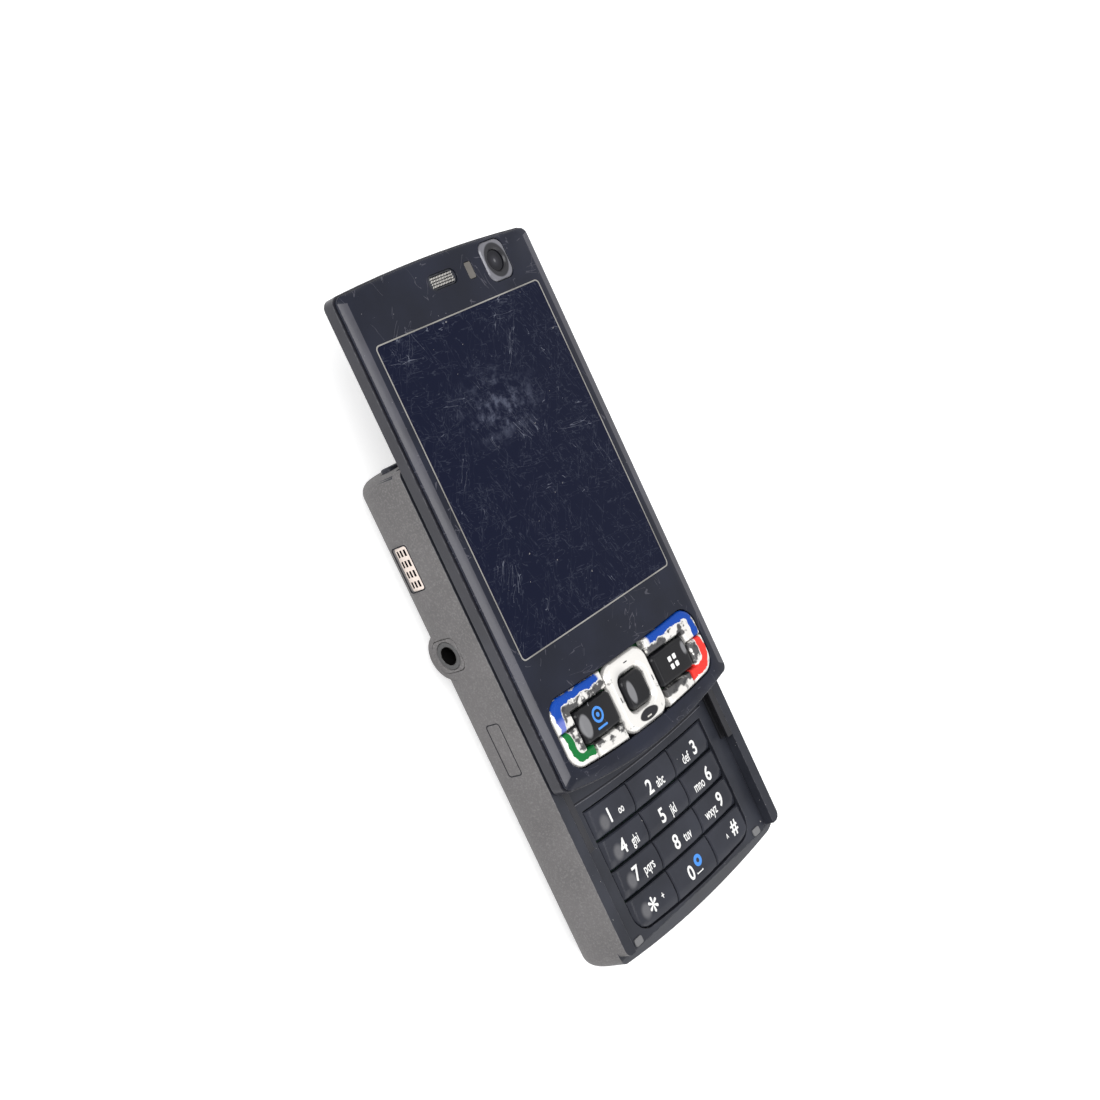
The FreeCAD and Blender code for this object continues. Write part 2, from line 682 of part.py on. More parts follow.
def make_number_key(label, row, column):
    """A cap between two bowed row lines and two bowed seams, with a plunger under it."""
    piece = Piece(label)
    half_seam = size.key_seam / 2
    last = row == 3
    high_mid = size.row_top - size.row_pitch * row
    high_mid = high_mid if row == 0 else high_mid - half_seam
    low_mid = size.keys_end if last else size.row_top - size.row_pitch * (row + 1) + half_seam
    low_bend = size.key_end_bend if last else size.row_bend
    left = -size.keys_half if column == 0 else size.seam_x * (column * 2 - 3) + half_seam
    right = size.keys_half if column == 2 else size.seam_x * (column * 2 - 1) - half_seam
    left, right = as_size(left), as_size(right)
    corner = size.keys_round
    high_left = bent_end(high_mid, size.row_bend, left)
    high_right = bent_end(high_mid, size.row_bend, right)
    low_left = bent_end(low_mid, low_bend, left)
    low_right = bent_end(low_mid, low_bend, right)
    outline = []
    if last and column == 0:
        low_in = bent_end(low_mid, low_bend, left + corner)
        outline += [(left, high_left, None), (left, low_in + corner, corner), (left + corner, low_in, low_bend)]
    else:
        bow = None if column == 0 else (seam(low_left, high_left), "hollow")
        outline += [(left, high_left, bow), (left, low_left, low_bend)]
    if last and column == 2:
        low_in = bent_end(low_mid, low_bend, right - corner)
        outline += [(right - corner, low_in, corner), (right, low_in + corner, None)]
    else:
        outline += [(right, low_right, None if column == 2 else seam(low_right, high_right))]
    outline += [(right, high_right, (size.row_bend, "hollow"))]
    under = size.key_level - size.key_thick
    piece.pad(under, size.key_level, outline)
    middle_x = (left + right) / 2
    middle_y = (low_left + high_left) / 2
    piece.pad(under - size.nub_length, under, circles=[(middle_x, middle_y, size.nub_radius)])
    top = size.key_level.value
    piece.chamfer(size.edge_break, lambda point, edge: near(point.z, top))


MEDIA_KEYS = ["rewind_key", "play_key", "stop_key", "forward_key"]


def make_media_key(label, number):
    piece = Piece(label)
    width = size.media_half / 2
    left = -size.media_half + width * number
    right = left + width
    if number > 0:
        left = left + size.key_seam / 2
    if number < 3:
        right = right - size.key_seam / 2
    under = size.key_level - size.key_thick
    piece.pad(under, size.key_level, rounded(left, right, size.media_low, size.media_high, 0.8))
    middle = (left + right) / 2
    piece.pad(under - size.nub_length, under,
              circles=[(middle, (size.media_low + size.media_high) / 2, size.nub_radius)])
    top = size.key_level.value
    piece.chamfer(size.edge_break, lambda point, edge: near(point.z, top))


def make_keypad_board():
    """Dome sheets under the number keys and the media keys."""
    piece = Piece("keypad_board")
    high = size.key_level - size.key_thick - size.nub_length - size.key_travel - size.dome_gap
    low = high - size.dome_thick
    half = size.keys_half - 0.4
    piece.pad(low, high, square(-half, half, size.keys_end + 1.4, size.row_top + 1))
    half = size.media_half - 0.4
    piece.pad(low, high, square(-half, half, size.media_low, size.media_high - 0.2))
    strap = square(-3, 3, size.row_top + 0.9, size.media_low + 0.1)
    piece.pad(low, high, strap)


def make_main_board():
    """Board with its shield cans, card holder and battery contacts."""
    piece = Piece("main_board")
    low = size.mid_floor + 0.2
    high = low + size.board_thick
    half = size.board_width / 2
    piece.pad(low, high, rounded(-half, half, size.board_end, size.board_top, 1.5))
    notch_half = size.bezel_half + 0.3
    depth = half_width - size.jack_depth - 1.8
    piece.pocket(low, high, square(-half - 1, -depth, jack_y - notch_half, jack_y + notch_half))
    camera = size.camera_half + 0.3
    piece.pocket(low, high, square(size.camera_x - camera, size.camera_x + camera,
                                   size.camera_y - camera, size.camera_y + camera))
    can_side = half - 2
    can_low = size.board_end + 1.6
    cans = [square(-can_side, -1, can_low, -24), square(1, can_side, can_low, -28),
            square(-can_side, 0, -20, jack_y - 7.3), square(2, can_side, -24, -2)]
    piece.pad(high, size.shield_level, *cans)
    card_holder = rounded(3, half - 1, 1, 14, 1)
    piece.pad(high, high + 1.4, card_holder)
    switch_face = half_width + size.side_key_proud - size.side_key_deep - size.side_travel - 0.05
    switch_low, switch_high = size.side_key_z - 1, size.side_key_z + 1
    for low_y, high_y in SIDE_KEYS.values():
        middle = (low_y + high_y) / 2
        left, right = middle - size.switch_half, middle + size.switch_half
        piece.pad(half - 1.7, half + 1, square(left, right, high - 0.2, switch_high), view="side")
        piece.pad(half + 1, switch_face, square(left, right, switch_low, switch_high), view="side")


def make_battery():
    piece = Piece("battery")
    half = size.battery_width / 2
    low = size.cover_thick + 0.15
    high = low + size.battery_thick
    piece.pad(low, high, rounded(-half, half, size.battery_end, battery_top, 1.5))
    top = high.value
    piece.fillet(0.8, lambda point, edge: near(point.z, top) or near(point.z, low.value))


def make_battery_cover():
    """A slice of the base's own form, so that it closes the back flush."""
    piece = Piece("battery_cover")
    base_blank(piece, size.deck_level)
    piece.pocket(size.cover_thick, size.deck_level + 1,
                 square(-half_width - 1, half_width + 1, base_end - 1, base_top + 1))
    half = size.cover_width / 2
    keep = rounded(-half, half, base_end - 5, cover_top, size.cover_round)
    frame = square(-half_width - 1, half_width + 1, base_end - 6, base_top + 1)
    piece.pocket(-1, size.cover_thick + 1, frame, keep)


def make_release_button():
    piece = Piece("release_button")
    low = cover_top + size.button_above
    high = low + size.button_tall
    half = size.button_half
    piece.pad(0.25, size.back_skin + 0.4, rounded(-half, half, low, high, 0.85))
    piece.chamfer(0.2, lambda point, edge: near(point.z, 0.25))


def make_camera():
    """Rear camera: square module, ring and clear windows."""
    module = Piece("camera_module")
    half = size.camera_half
    x, y = size.camera_x, size.camera_y
    module.pad(size.back_skin + 0.8, size.mid_floor + 0.6, square(x - half, x + half, y - half, y + half))
    module.pad(size.back_skin, size.back_skin + 0.9, circles=[(x, y, size.camera_ring_in - 0.3)])
    flash_half = size.flash_radius + 0.6
    flash_box = rounded(size.flash_x - flash_half, size.flash_x + flash_half, y - flash_half, y + flash_half, 0.6)
    module.pad(size.back_skin + 0.1, size.mid_floor, flash_box)
    ring = Piece("camera_ring")
    ring.pad(0.1, size.back_skin - 0.1, circles=[(x, y, size.camera_ring_out), (x, y, size.camera_ring_in)])
    inner = size.camera_ring_in.value

    def on_inner_rim(point, edge):
        return near(point.z, 0.1) and near(math.hypot(point.x - x.value, point.y - y.value), inner)

    ring.chamfer(0.5, on_inner_rim)
    lenses = Piece("camera_lenses")
    lenses.pad(0.7, size.back_skin - 0.1, circles=[(x, y, size.camera_ring_in - 0.1)])
    lenses.pad(0.15, size.back_skin, circles=[(size.flash_x, y, size.flash_radius)])


def make_speakers():
    """Two speaker boxes behind the side grilles."""
    piece = Piece("speakers")
    for hand in (-1, 1):
        near_x, far_x = size.speaker_x * hand, (half_width - 2.2) * hand
        left, right = (far_x, near_x) if hand < 0 else (near_x, far_x)
        piece.pad(size.grille_under - 1.4, size.mid_floor + 0.8,
                  rounded(left, right, size.grille_low - 2.4, size.grille_high + 2.4, 0.8))


def make_speaker_grilles():
    """Slotted plates that follow the rounded side walls."""
    piece = Piece("speaker_grilles")
    base_blank(piece, size.deck_level)
    keep = rounded(size.grille_low, size.grille_high, size.grille_under, size.grille_over, 0.5)
    frame = square(base_end - 1, base_top + 1, -1, size.deck_level + 1)
    piece.pocket(-half_width - 1, half_width + 1, frame, keep, view="side")
    inner = half_width - size.grille_thick - 0.45
    piece.pocket(-1, size.deck_level + 1, square(-inner, inner, base_end, base_top))
    first_y = size.grille_low + 1.15
    first_z = size.grille_under + 0.75
    slots = []
    for row in range(4):
        for column in range(3):
            y = first_y + row * 1.97
            z = first_z + column * 1.0
            slots.append(square(y - size.slot_long / 2, y + size.slot_long / 2,
                                z - size.slot_wide / 2, z + size.slot_wide / 2))
    piece.pocket(-half_width - 1, half_width + 1, *slots, view="side")


def make_audio_socket():
    gap = size.fit_gap
    y, z = jack_y, size.jack_z
    half = size.bezel_half
    bezel = Piece("jack_bezel")
    bezel.pad(-half_width - 0.1, -half_width + size.jack_seat - gap, rounded(y - half, y + half, z - half, z + half, 1.6),
              view="side", circles=[(y, z, size.jack_ring / 2 - 0.35)])
    bezel.chamfer(0.15, lambda point, edge: near(point.x, -half_width.value - 0.1))
    socket = Piece("av_jack")
    face = -half_width + 0.05
    seat = -half_width + size.jack_seat
    socket.pad(face, seat, view="side", circles=[(y, z, size.jack_ring / 2 - 0.45), (y, z, size.jack_bore / 2)])
    block = square(y - half + gap, y + half - gap, z - half + 0.2, z + half - 0.2)
    socket.pad(seat, -half_width + size.jack_depth, block, view="side", circles=[(y, z, size.jack_bore / 2)])
    end = -half_width + size.jack_depth
    socket.pad(end, end + 0.8, block, view="side")


def make_ir_window():
    piece = Piece("ir_window")
    low, high = size.window_low, size.window_high
    piece.pad(-half_width, -half_width + size.window_thick,
              rounded(low, high, size.window_under, size.window_over, 0.5), view="side")


def make_side_key(label):
    """A key in the right wall; the volume key has a round rib to rock on."""
    piece = Piece(label)
    low, high = SIDE_KEYS[label]
    z, half = size.side_key_z, size.side_key_half
    face = half_width + size.side_key_proud
    outline = rounded(low, high, z - half, z + half, size.side_key_half - 0.1)
    inner_face = face - size.side_key_deep
    piece.pad(inner_face, face, outline, view="side")
    if label == "volume_key":
        rib = size.side_travel
        piece.pad(z - half + rib, z + half - rib, circles=[(inner_face, (low + high) / 2, rib)])
    piece.fillet(0.3, lambda point, edge: near(point.x, face.value))


def make_power_key():
    piece = Piece("power_key")
    x, z = size.power_x, size.power_z
    face = base_top + 0.1
    half, tall = size.power_half, size.power_tall
    piece.pad(face - size.power_deep, face, rounded(x - half, x + half, z - tall, z + tall, 1.3), view="end")
    piece.fillet(0.4, lambda point, edge: near(point.y, face.value))


def make_end_sockets():
    """Charger socket and data socket in the lower end."""
    piece = Piece("end_sockets")
    z = size.socket_z
    face = base_end + size.socket_inset
    back = face + size.socket_depth
    piece.pad(face, back, view="end", circles=[(size.charge_x, z, size.charge_radius),
                                               (size.charge_x, z, size.charge_bore / 2)])
    x, half, tall = size.data_x, size.data_half, size.data_tall
    mouth = rounded(x - half, x + half, z - tall, z + tall, 0.6)
    half, tall = half + size.data_wall, tall + size.data_wall
    shell = rounded(x - half, x + half, z - tall, z + tall, 0.7)
    piece.pad(face, back, shell, mouth, view="end")
    piece.pad(face + 1.2, back - 0.1, square(x - 2.2, x + 2.2, z - 0.4, z + 0.4), view="end")
    rear = size.data_wall / 2
    half, tall = half - rear, tall - rear
    piece.pad(back - 0.4, back, square(x - half, x + half, z - tall, z + tall), view="end")


def make_slide_rails():
    """Two channels along the side walls, open towards the middle."""
    piece = Piece("slide_rails")
    outer = half_width - size.side_wall - size.fit_gap / 2
    low, high = size.deck_level + 0.02, size.wall_level
    for hand in (-1, 1):
        inner = outer - size.rail_depth
        web = outer - size.rail_web
        channel = [(outer, low, None), (outer, high, None), (inner, high, None), (inner, high - size.rail_flange, None),
                   (web, high - size.rail_flange, None), (web, low + size.rail_flange, None),
                   (inner, low + size.rail_flange, None), (inner, low, None)]
        channel = [(x * hand, z, bend) for x, z, bend in channel]
        piece.pad(size.rail_start, size.rail_end, channel, view="end")


def make_deck_bumpers():
    """Two rubber pads on the chin that the closed slide rests against."""
    piece = Piece("deck_bumpers")
    for hand in (-1, 1):
        x = size.pad_x * hand
        piece.pad(size.deck_level, size.deck_level + 0.25,
                  rounded(x - 1.1, x + 1.1, base_end + size.end_wall + 0.3, base_end + size.end_wall + 1.7, 0.4))


def slide_outline(inset, low_inset=None, high_inset=None):
    low_inset = inset if low_inset is None else low_inset
    high_inset = inset if high_inset is None else high_inset
    return barrel(half_width - inset, slide_end + low_inset, size.slide_bend, slide_top - high_inset, size.top_bend)


def round_corners(piece, radius, low, high):
    """Rounds the upright corner edges between two levels."""
    side = half_width.value - 3
    piece.fillet(radius, lambda point, edge: upright(edge) and abs(point.x) > side and low < point.z < high)


def make_slide_back():
    """Narrow keel between the base's walls, and the wide tray on top of it."""
    piece = Piece("slide_back", slides=True)
    piece.pad(size.slide_edge, size.tray_level, slide_outline(as_size(0)))
    round_corners(piece, size.tray_corner, size.slide_edge.value, size.tray_level.value)
    low = size.slide_edge.value
    piece.chamfer(size.edge_break, lambda point, edge: near(point.z, low))
    keel = half_width - size.side_wall - size.rail_depth - size.fit_gap - size.run_gap
    piece.pad(size.slide_floor, size.slide_edge, rounded(-keel, keel, slide_end + size.keel_inset,
                                                         slide_top - size.keel_inset, size.corner_round))
    room = size.panel_under - 0.1
    piece.pocket(room + 1.0, size.tray_level, slide_outline(size.slide_wall))
    keel_in = keel - 0.9
    piece.pocket(room, room + 1.0, rounded(-keel_in, keel_in, slide_end + size.keel_inset + 1,
                                           slide_top - size.keel_inset - 1, size.corner_round))
    plate = size.tongue_thick + size.fit_gap
    piece.pocket(size.slide_floor, size.slide_floor + plate,
                 square(-keel - 1, keel + 1, size.tongue_start - 1.6, size.tongue_end + 1.6))

def make_slide_runner():
    """Steel plate in the keel with a tongue on each side for the rails."""
    piece = Piece("slide_runner", slides=True)
    low = size.slide_floor + 0.05
    high = low + size.tongue_thick
    keel = half_width - size.side_wall - size.rail_depth - size.fit_gap - size.run_gap
    piece.pad(low, high, square(-keel, keel, size.tongue_start - 1.5, size.tongue_end + 1.5))
    tongue = half_width - size.side_wall - size.rail_web - size.fit_gap / 2 - size.run_gap
    level = size.deck_level + size.rail_flange + size.run_gap
    piece.pad(level, high, square(-tongue, tongue, size.tongue_start, size.tongue_end))
    piece.pocket(low, high, rounded(-12, 12, size.tongue_start + 4, size.tongue_end - 4, 2))


def make_slide_cover():
    """Front cover: a bevelled plate with openings, and a rim that plugs into the tray."""
    piece = Piece("slide_cover", slides=True)
    inset = size.cover_inset
    edge = size.front_level - size.bevel_drop
    outer = cushion(half_width - inset, slide_end + inset, slide_top - inset, size.cover_corner)
    inner = cushion(half_width - inset - size.bevel_width, slide_end + inset + size.bevel_low,
                    slide_top - inset - size.bevel_high, size.cover_corner)
    piece.pad(size.cover_under, edge, outer)
    piece.loft(edge, outer, size.front_level, inner)
    rim = size.slide_wall + size.fit_gap
    piece.pad(size.tray_level - 1.2, size.cover_under, slide_outline(rim), slide_outline(rim + 1.0))
    gap = size.fit_gap
    glass = rounded(-size.glass_half - gap, size.glass_half + gap, size.glass_low - gap, size.glass_high + gap, 0.9)
    seat = size.front_level - size.glass_thick - 0.05
    piece.pocket(seat, size.front_level, glass)
    lip = size.glass_lip
    piece.pocket(size.cover_under, seat, rounded(lip - size.glass_half, size.glass_half - lip,
                                                 size.glass_low + lip, size.glass_high - lip, 0.5))
    piece.pocket(size.cover_under, size.front_level, cluster_outline(size.run_gap))
    ear = ear_outline(gap)
    eye = rounded(size.eye_x - size.eye_half - gap, size.eye_x + size.eye_half + gap,
                  size.eye_y - size.eye_tall - gap, size.eye_y + size.eye_tall + gap, 1.9)
    sensor = rounded(size.sensor_x - size.sensor_half - gap, size.sensor_x + size.sensor_half + gap,
                     size.eye_y - size.sensor_tall - gap, size.eye_y + size.sensor_tall + gap, 0.4)
    piece.pocket(size.cover_under, size.front_level, ear, eye, sensor)


def cushion(half, low, high, corner):
    """The slide's form with rounded corners."""
    inner = half - corner
    low_y = bent_end(low, size.slide_bend, inner)
    high_y = bent_top(high, size.top_bend, inner)
    return [(-half, high_y - corner, None), (-half, low_y + corner, corner), (-inner, low_y, size.slide_bend),
            (inner, low_y, corner), (half, low_y + corner, None), (half, high_y - corner, corner),
            (inner, high_y, size.top_bend), (-inner, high_y, corner)]


def ear_outline(grow):
    half, tall = size.ear_half + grow, size.ear_high / 2 + grow
    return rounded(size.ear_x - half, size.ear_x + half, size.ear_y - tall, size.ear_y + tall, tall - 0.05)


def cluster_outline(grow):
    """Outer edge of the whole group of front keys."""
    half = size.cluster_half + grow
    corner = size.cluster_round + grow
    inner = half - corner
    low = bent_end(size.cluster_low - grow, size.key_end_bend, inner)
    high = bent_end(size.cluster_high + grow, size.row_bend, inner)
    return [(-half, high - corner, None), (-half, low + corner, corner), (-inner, low, size.key_end_bend),
            (inner, low, corner), (half, low + corner, None), (half, high - corner, corner),
            (inner, high, (size.row_bend, "hollow")), (-inner, high, corner)]


def make_front_key(label, outline, plunger):
    """A cap of the front keys: outline, broken top edge and a plunger."""
    piece = Piece(label, slides=True)
    piece.pad(size.front_key_under, size.front_key_level, outline)
    under = size.front_key_under
    x, y = plunger
    piece.pad(under - size.nub_length, under, circles=[(x, y, size.small_nub)])
    top = size.front_key_level.value
    piece.chamfer(size.edge_break, lambda point, edge: near(point.z, top))


def front_key_outlines():
    """Outlines of the left-hand keys; the right-hand ones mirror them."""
    gap = size.key_seam
    half = size.cluster_half
    corner = size.cluster_round
    inner = half - corner
    ring = size.ring_half + gap
    panel = size.panel_key_out + gap
    panel_high = size.select_high + gap
    panel_low = size.select_low - gap
    split = size.soft_split
    high = bent_end(size.cluster_high, size.row_bend, inner)
    high_in = bent_end(size.cluster_high, size.row_bend, ring)
    low = bent_end(size.cluster_low, size.key_end_bend, inner)
    call = size.call_split
    low_call = bent_end(size.cluster_low, size.key_end_bend, call + gap / 2)
    low_clear = bent_end(size.cluster_low, size.key_end_bend, call - gap / 2)
    low_ring = bent_end(size.cluster_low, size.key_end_bend, ring)
    soft = [(-half, split, None), (-panel, split, None), (-panel, panel_high, None), (-ring, panel_high, None),
            (-ring, high_in, (size.row_bend, "hollow")), (-inner, high, corner), (-half, high - corner, None)]
    split = split - gap / 2
    call_key = [(-half, split, None), (-half, low + corner, corner), (-inner, low, None),
                (-call - gap / 2, low_call, None), (-call - gap / 2, panel_low, None), (-panel, panel_low, None),
                (-panel, split, None)]
    lower = [(gap / 2 - call, panel_low, None), (gap / 2 - call, low_clear, size.key_end_bend),
             (-ring, low_ring, None), (-ring, panel_low, None)]
    panel_key = rounded(-size.panel_key_out, -ring, size.select_low, size.select_high, 1.1)
    soft_nub = ((-ring - panel) / 2, (panel_high + high_in) / 2)
    call_nub = ((-half - panel) / 2, split - 2.5)
    lower_nub = ((-call - ring) / 2, (low_ring + panel_low) / 2)
    panel_nub = ((-ring - size.panel_key_out) / 2, (size.select_low + size.select_high) / 2)
    return [("soft", soft, soft_nub), ("call", call_key, call_nub),
            ("lower", lower, lower_nub), ("panel", panel_key, panel_nub)]


FRONT_KEYS = {"soft": ("soft_key_left", "soft_key_right"), "call": ("call_key", "end_key"),
              "lower": ("clear_key", "edit_key"), "panel": ("multimedia_key", "menu_key")}


def make_front_keys():
    for kind, outline, (x, y) in front_key_outlines():
        left, right = FRONT_KEYS[kind]
        make_front_key(left, outline, (x, y))
        make_front_key(right, mirrored(outline), (-x, y))
    select = rounded(-size.select_half, size.select_half, size.select_low, size.select_high, 1.6)
    middle = (size.select_low + size.select_high) / 2
    make_front_key("select_key", select, (as_size(0), middle))
    ring = Piece("nav_ring", slides=True)
    outer = rounded(-size.ring_half, size.ring_half, size.ring_low, size.ring_high, size.ring_round)
    gap = size.run_gap
    inner = rounded(-size.select_half - gap, size.select_half + gap,
                    size.select_low - gap, size.select_high + gap, 1.6)
    ring.pad(size.front_key_under + size.ring_tilt_gap, size.front_key_level, outer, inner)
    top = size.front_key_level.value
    ring.chamfer(size.edge_break * 2, lambda point, edge: near(point.z, top))


def make_nav_pivot():
    """Gimbal round the centre key: its pins along Y lie on the board, those along X carry the ring."""
    piece = Piece("nav_pivot", slides=True)
    pin = size.gimbal_pin
    low_axis = front_board + size.pin_gap + pin
    high_axis = size.front_key_under + size.ring_tilt_gap - size.pin_gap - pin
    side = size.select_half + size.run_gap
    low = size.select_low - size.run_gap
    high = size.select_high + size.run_gap
    border = size.gimbal_border
    frame = rounded(-side - border, side + border, low - border, high + border, 2.4)
    piece.pad(low_axis, low_axis + size.gimbal_thick, frame, rounded(-side, side, low, high, 1.6))
    for start in (low - border, high):
        piece.pad(start, start + border, view="end", circles=[(0, low_axis, pin)])
    for start in (-side - border, side):
        piece.pad(start, start + border, view="side", circles=[((low + high) / 2, high_axis, pin)])


def make_function_board():
    """Board with the domes under the front keys."""
    piece = Piece("function_board", slides=True)
    half = size.cluster_half - 0.6
    outline = rounded(-half, half, size.cluster_low + 1.0, size.cluster_high - 0.3, 2.5)
    piece.pad(size.function_under, front_board, outline)


def make_display():
    glass = Piece("display_window", slides=True)
    seat = size.front_level - size.glass_thick
    low, high = size.glass_low, size.glass_high
    glass.pad(seat, size.front_level, rounded(-size.glass_half, size.glass_half, low, high, 0.8))
    module = Piece("display_module", slides=True)
    half = size.glass_half - 2
    face = size.panel_under + size.panel_thick
    module.pad(size.panel_under, face, rounded(-half, half, low - 0.5, high + 1.5, 0.6))
    half = half + 0.2
    module.pad(face - 0.01, face + 0.4, rounded(-half, half, low + 1.2, high - 1.2, 0.3))


def make_front_fittings():
    """Earpiece, front camera with its bezel, and light sensor."""
    high = size.front_level - 0.2
    low = size.cover_under + 0.05
    floor = size.function_under
    earpiece = Piece("earpiece", slides=True)
    shoulder = size.cover_under - 0.05
    earpiece.pad(floor, shoulder, rounded(size.ear_x - 5, size.ear_x + 5, size.ear_y - 2, size.ear_y + 2, 1.5))
    earpiece.pad(shoulder, high, ear_outline(as_size(0)))
    slots = []
    count = int(size.ear_slots.value)
    half = size.ear_half - 0.9
    for number in range(count):
        y = size.ear_y + size.ear_pitch * (number - (count - 1) / 2)
        slots.append(square(size.ear_x - half, size.ear_x + half, y - size.ear_slot / 2, y + size.ear_slot / 2))
    earpiece.pocket(low, high, *slots)
    x, y = size.eye_x, size.eye_y
    bezel = Piece("front_camera_bezel", slides=True)
    bezel_top = size.front_level + 0.15
    bezel.pad(low, bezel_top, rounded(x - size.eye_half, x + size.eye_half, y - size.eye_tall, y + size.eye_tall, 1.9),
              circles=[(x, y, size.eye_lens + 0.1)])
    bezel.chamfer(0.3, lambda point, edge: near(point.z, bezel_top.value))
    camera = Piece("front_camera", slides=True)
    camera.pad(floor, low - 0.3, square(x - 2.4, x + 2.4, y - 2.4, y + 2.4))
    camera.pad(low - 0.3, size.front_level - 0.35, circles=[(x, y, size.eye_lens)])
    sensor = Piece("light_sensor", slides=True)
    sensor.pad(low, size.front_level - 0.05,
               rounded(size.sensor_x - size.sensor_half, size.sensor_x + size.sensor_half,
                       size.eye_y - size.sensor_tall, size.eye_y + size.sensor_tall, 0.3))


def make_all():
    make_base_housing()
    make_keypad_deck()
    make_deck_screws()
    for number, label in enumerate(NUMBER_KEYS):
        make_number_key(label, number // 3, number % 3)
    for number, label in enumerate(MEDIA_KEYS):
        make_media_key(label, number)
    make_keypad_board()
    make_main_board()
    make_battery()
    make_battery_cover()
    make_release_button()
    make_camera()
    make_speakers()
    make_speaker_grilles()
    make_audio_socket()
    make_ir_window()
    for label in SIDE_KEYS:
        make_side_key(label)
    make_power_key()
    make_end_sockets()
    make_slide_rails()
    make_deck_bumpers()
    make_slide_back()
    make_slide_runner()
    make_slide_cover()
    make_front_keys()
    make_nav_pivot()
    make_function_board()
    make_display()
    make_front_fittings()


def check_all():
    """Stops on failed objects, empty or broken shapes, and features that change nothing."""
    faults = ["failed " + item.Name for item in doc.Objects if {"Invalid", "Error"} & set(item.State)]
    for body in pieces:
        shape = body.Shape
        if shape.isNull() or not shape.isValid() or not shape.Solids:
            faults.append("no good shape " + body.Label)
        before = 0.0
        for item in body.Group:
            if not item.isDerivedFrom("PartDesign::Feature") or item.Shape.isNull():
                continue
            if abs(item.Shape.Volume - before) < 1e-6:
                faults.append("changes nothing " + item.Name)
            before = item.Shape.Volume
    if faults:
        raise RuntimeError("; ".join(faults))


make_all()
doc.recompute()
check_all()
os.makedirs("parts", exist_ok=True)
for body in pieces:
    body.Shape.exportStep("parts/%s.step" % body.Label)
    print(body.Label, len(body.Shape.Solids), round(body.Shape.Volume, 1))
print(len(pieces), "pieces")
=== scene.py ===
import json
import math

import bmesh
import bpy
from mathutils import Matrix, Vector


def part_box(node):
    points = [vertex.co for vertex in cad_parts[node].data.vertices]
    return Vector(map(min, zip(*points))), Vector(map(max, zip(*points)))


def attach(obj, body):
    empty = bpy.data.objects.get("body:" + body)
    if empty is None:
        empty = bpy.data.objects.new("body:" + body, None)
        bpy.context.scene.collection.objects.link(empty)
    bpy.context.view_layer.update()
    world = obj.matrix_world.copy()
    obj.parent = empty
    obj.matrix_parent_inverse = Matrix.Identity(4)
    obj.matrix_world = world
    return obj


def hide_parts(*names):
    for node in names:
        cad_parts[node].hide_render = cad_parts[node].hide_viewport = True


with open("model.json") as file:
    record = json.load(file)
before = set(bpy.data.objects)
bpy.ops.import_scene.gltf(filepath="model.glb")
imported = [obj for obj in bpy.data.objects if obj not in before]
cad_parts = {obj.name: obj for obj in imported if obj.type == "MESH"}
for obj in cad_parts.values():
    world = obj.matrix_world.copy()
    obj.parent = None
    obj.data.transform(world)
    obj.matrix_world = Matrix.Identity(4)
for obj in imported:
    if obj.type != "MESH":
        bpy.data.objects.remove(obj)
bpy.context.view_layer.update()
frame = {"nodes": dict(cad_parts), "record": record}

MM = 0.001

KEY_BOW = 1 / 0.78      # key rows bend: y rises by this times x squared, in metres
PRINT_THICK = 0.02 * MM
PRINT_LIFT = 0.012 * MM

# Node helpers


def add(tree, kind, inputs=None, **props):
    """A node with its settings; an input takes a plain value or another node's output."""
    node = tree.nodes.new(kind)
    for name, value in props.items():
        setattr(node, name, value)
    for key, value in (inputs or {}).items():
        if isinstance(value, bpy.types.NodeSocket):
            tree.links.new(value, node.inputs[key])
        else:
            node.inputs[key].default_value = value
    return node


def maths(tree, operation, first, second=0.0):
    return add(tree, "ShaderNodeMath", {0: first, 1: second}, operation=operation).outputs[0]


def times(tree, first, second):
    return maths(tree, "MULTIPLY", first, second)


def ramp(tree, value, low, high, start=0.0, end=1.0):
    """Maps low..high to start..end, clamped and eased."""
    inputs = {"Value": value, "From Min": low, "From Max": high, "To Min": start, "To Max": end}
    node = add(tree, "ShaderNodeMapRange", inputs, interpolation_type="SMOOTHSTEP")
    return node.outputs["Result"]


def noise(tree, place, scale, detail, **others):
    """A noise field's value."""
    inputs = {"Vector": place, "Scale": scale, "Detail": detail, **others}
    return add(tree, "ShaderNodeTexNoise", inputs).outputs[0]


def mix_colour(tree, factor, first, second):
    """Blends two colours, each a tuple or another node's output."""
    first, second = (value if isinstance(value, bpy.types.NodeSocket) else (*value, 1.0)
                     for value in (first, second))
    return add(tree, "ShaderNodeMix", {0: factor, 6: first, 7: second}, data_type="RGBA").outputs[2]


def new_group(name, inputs, outputs):
    """A shader group with named sockets, and its two end nodes."""
    group = bpy.data.node_groups.new(name, "ShaderNodeTree")
    for socket, kind, value in inputs:
        item = group.interface.new_socket(name=socket, in_out="INPUT", socket_type="NodeSocket" + kind)
        if value is not None:
            item.default_value = value
    for socket, kind in outputs:
        group.interface.new_socket(name=socket, in_out="OUTPUT", socket_type="NodeSocket" + kind)
    return group, group.nodes.new("NodeGroupInput").outputs, group.nodes.new("NodeGroupOutput").inputs


def use_group(tree, group, inputs):
    return add(tree, "ShaderNodeGroup", inputs, node_tree=group)


# Surface effects that several materials share


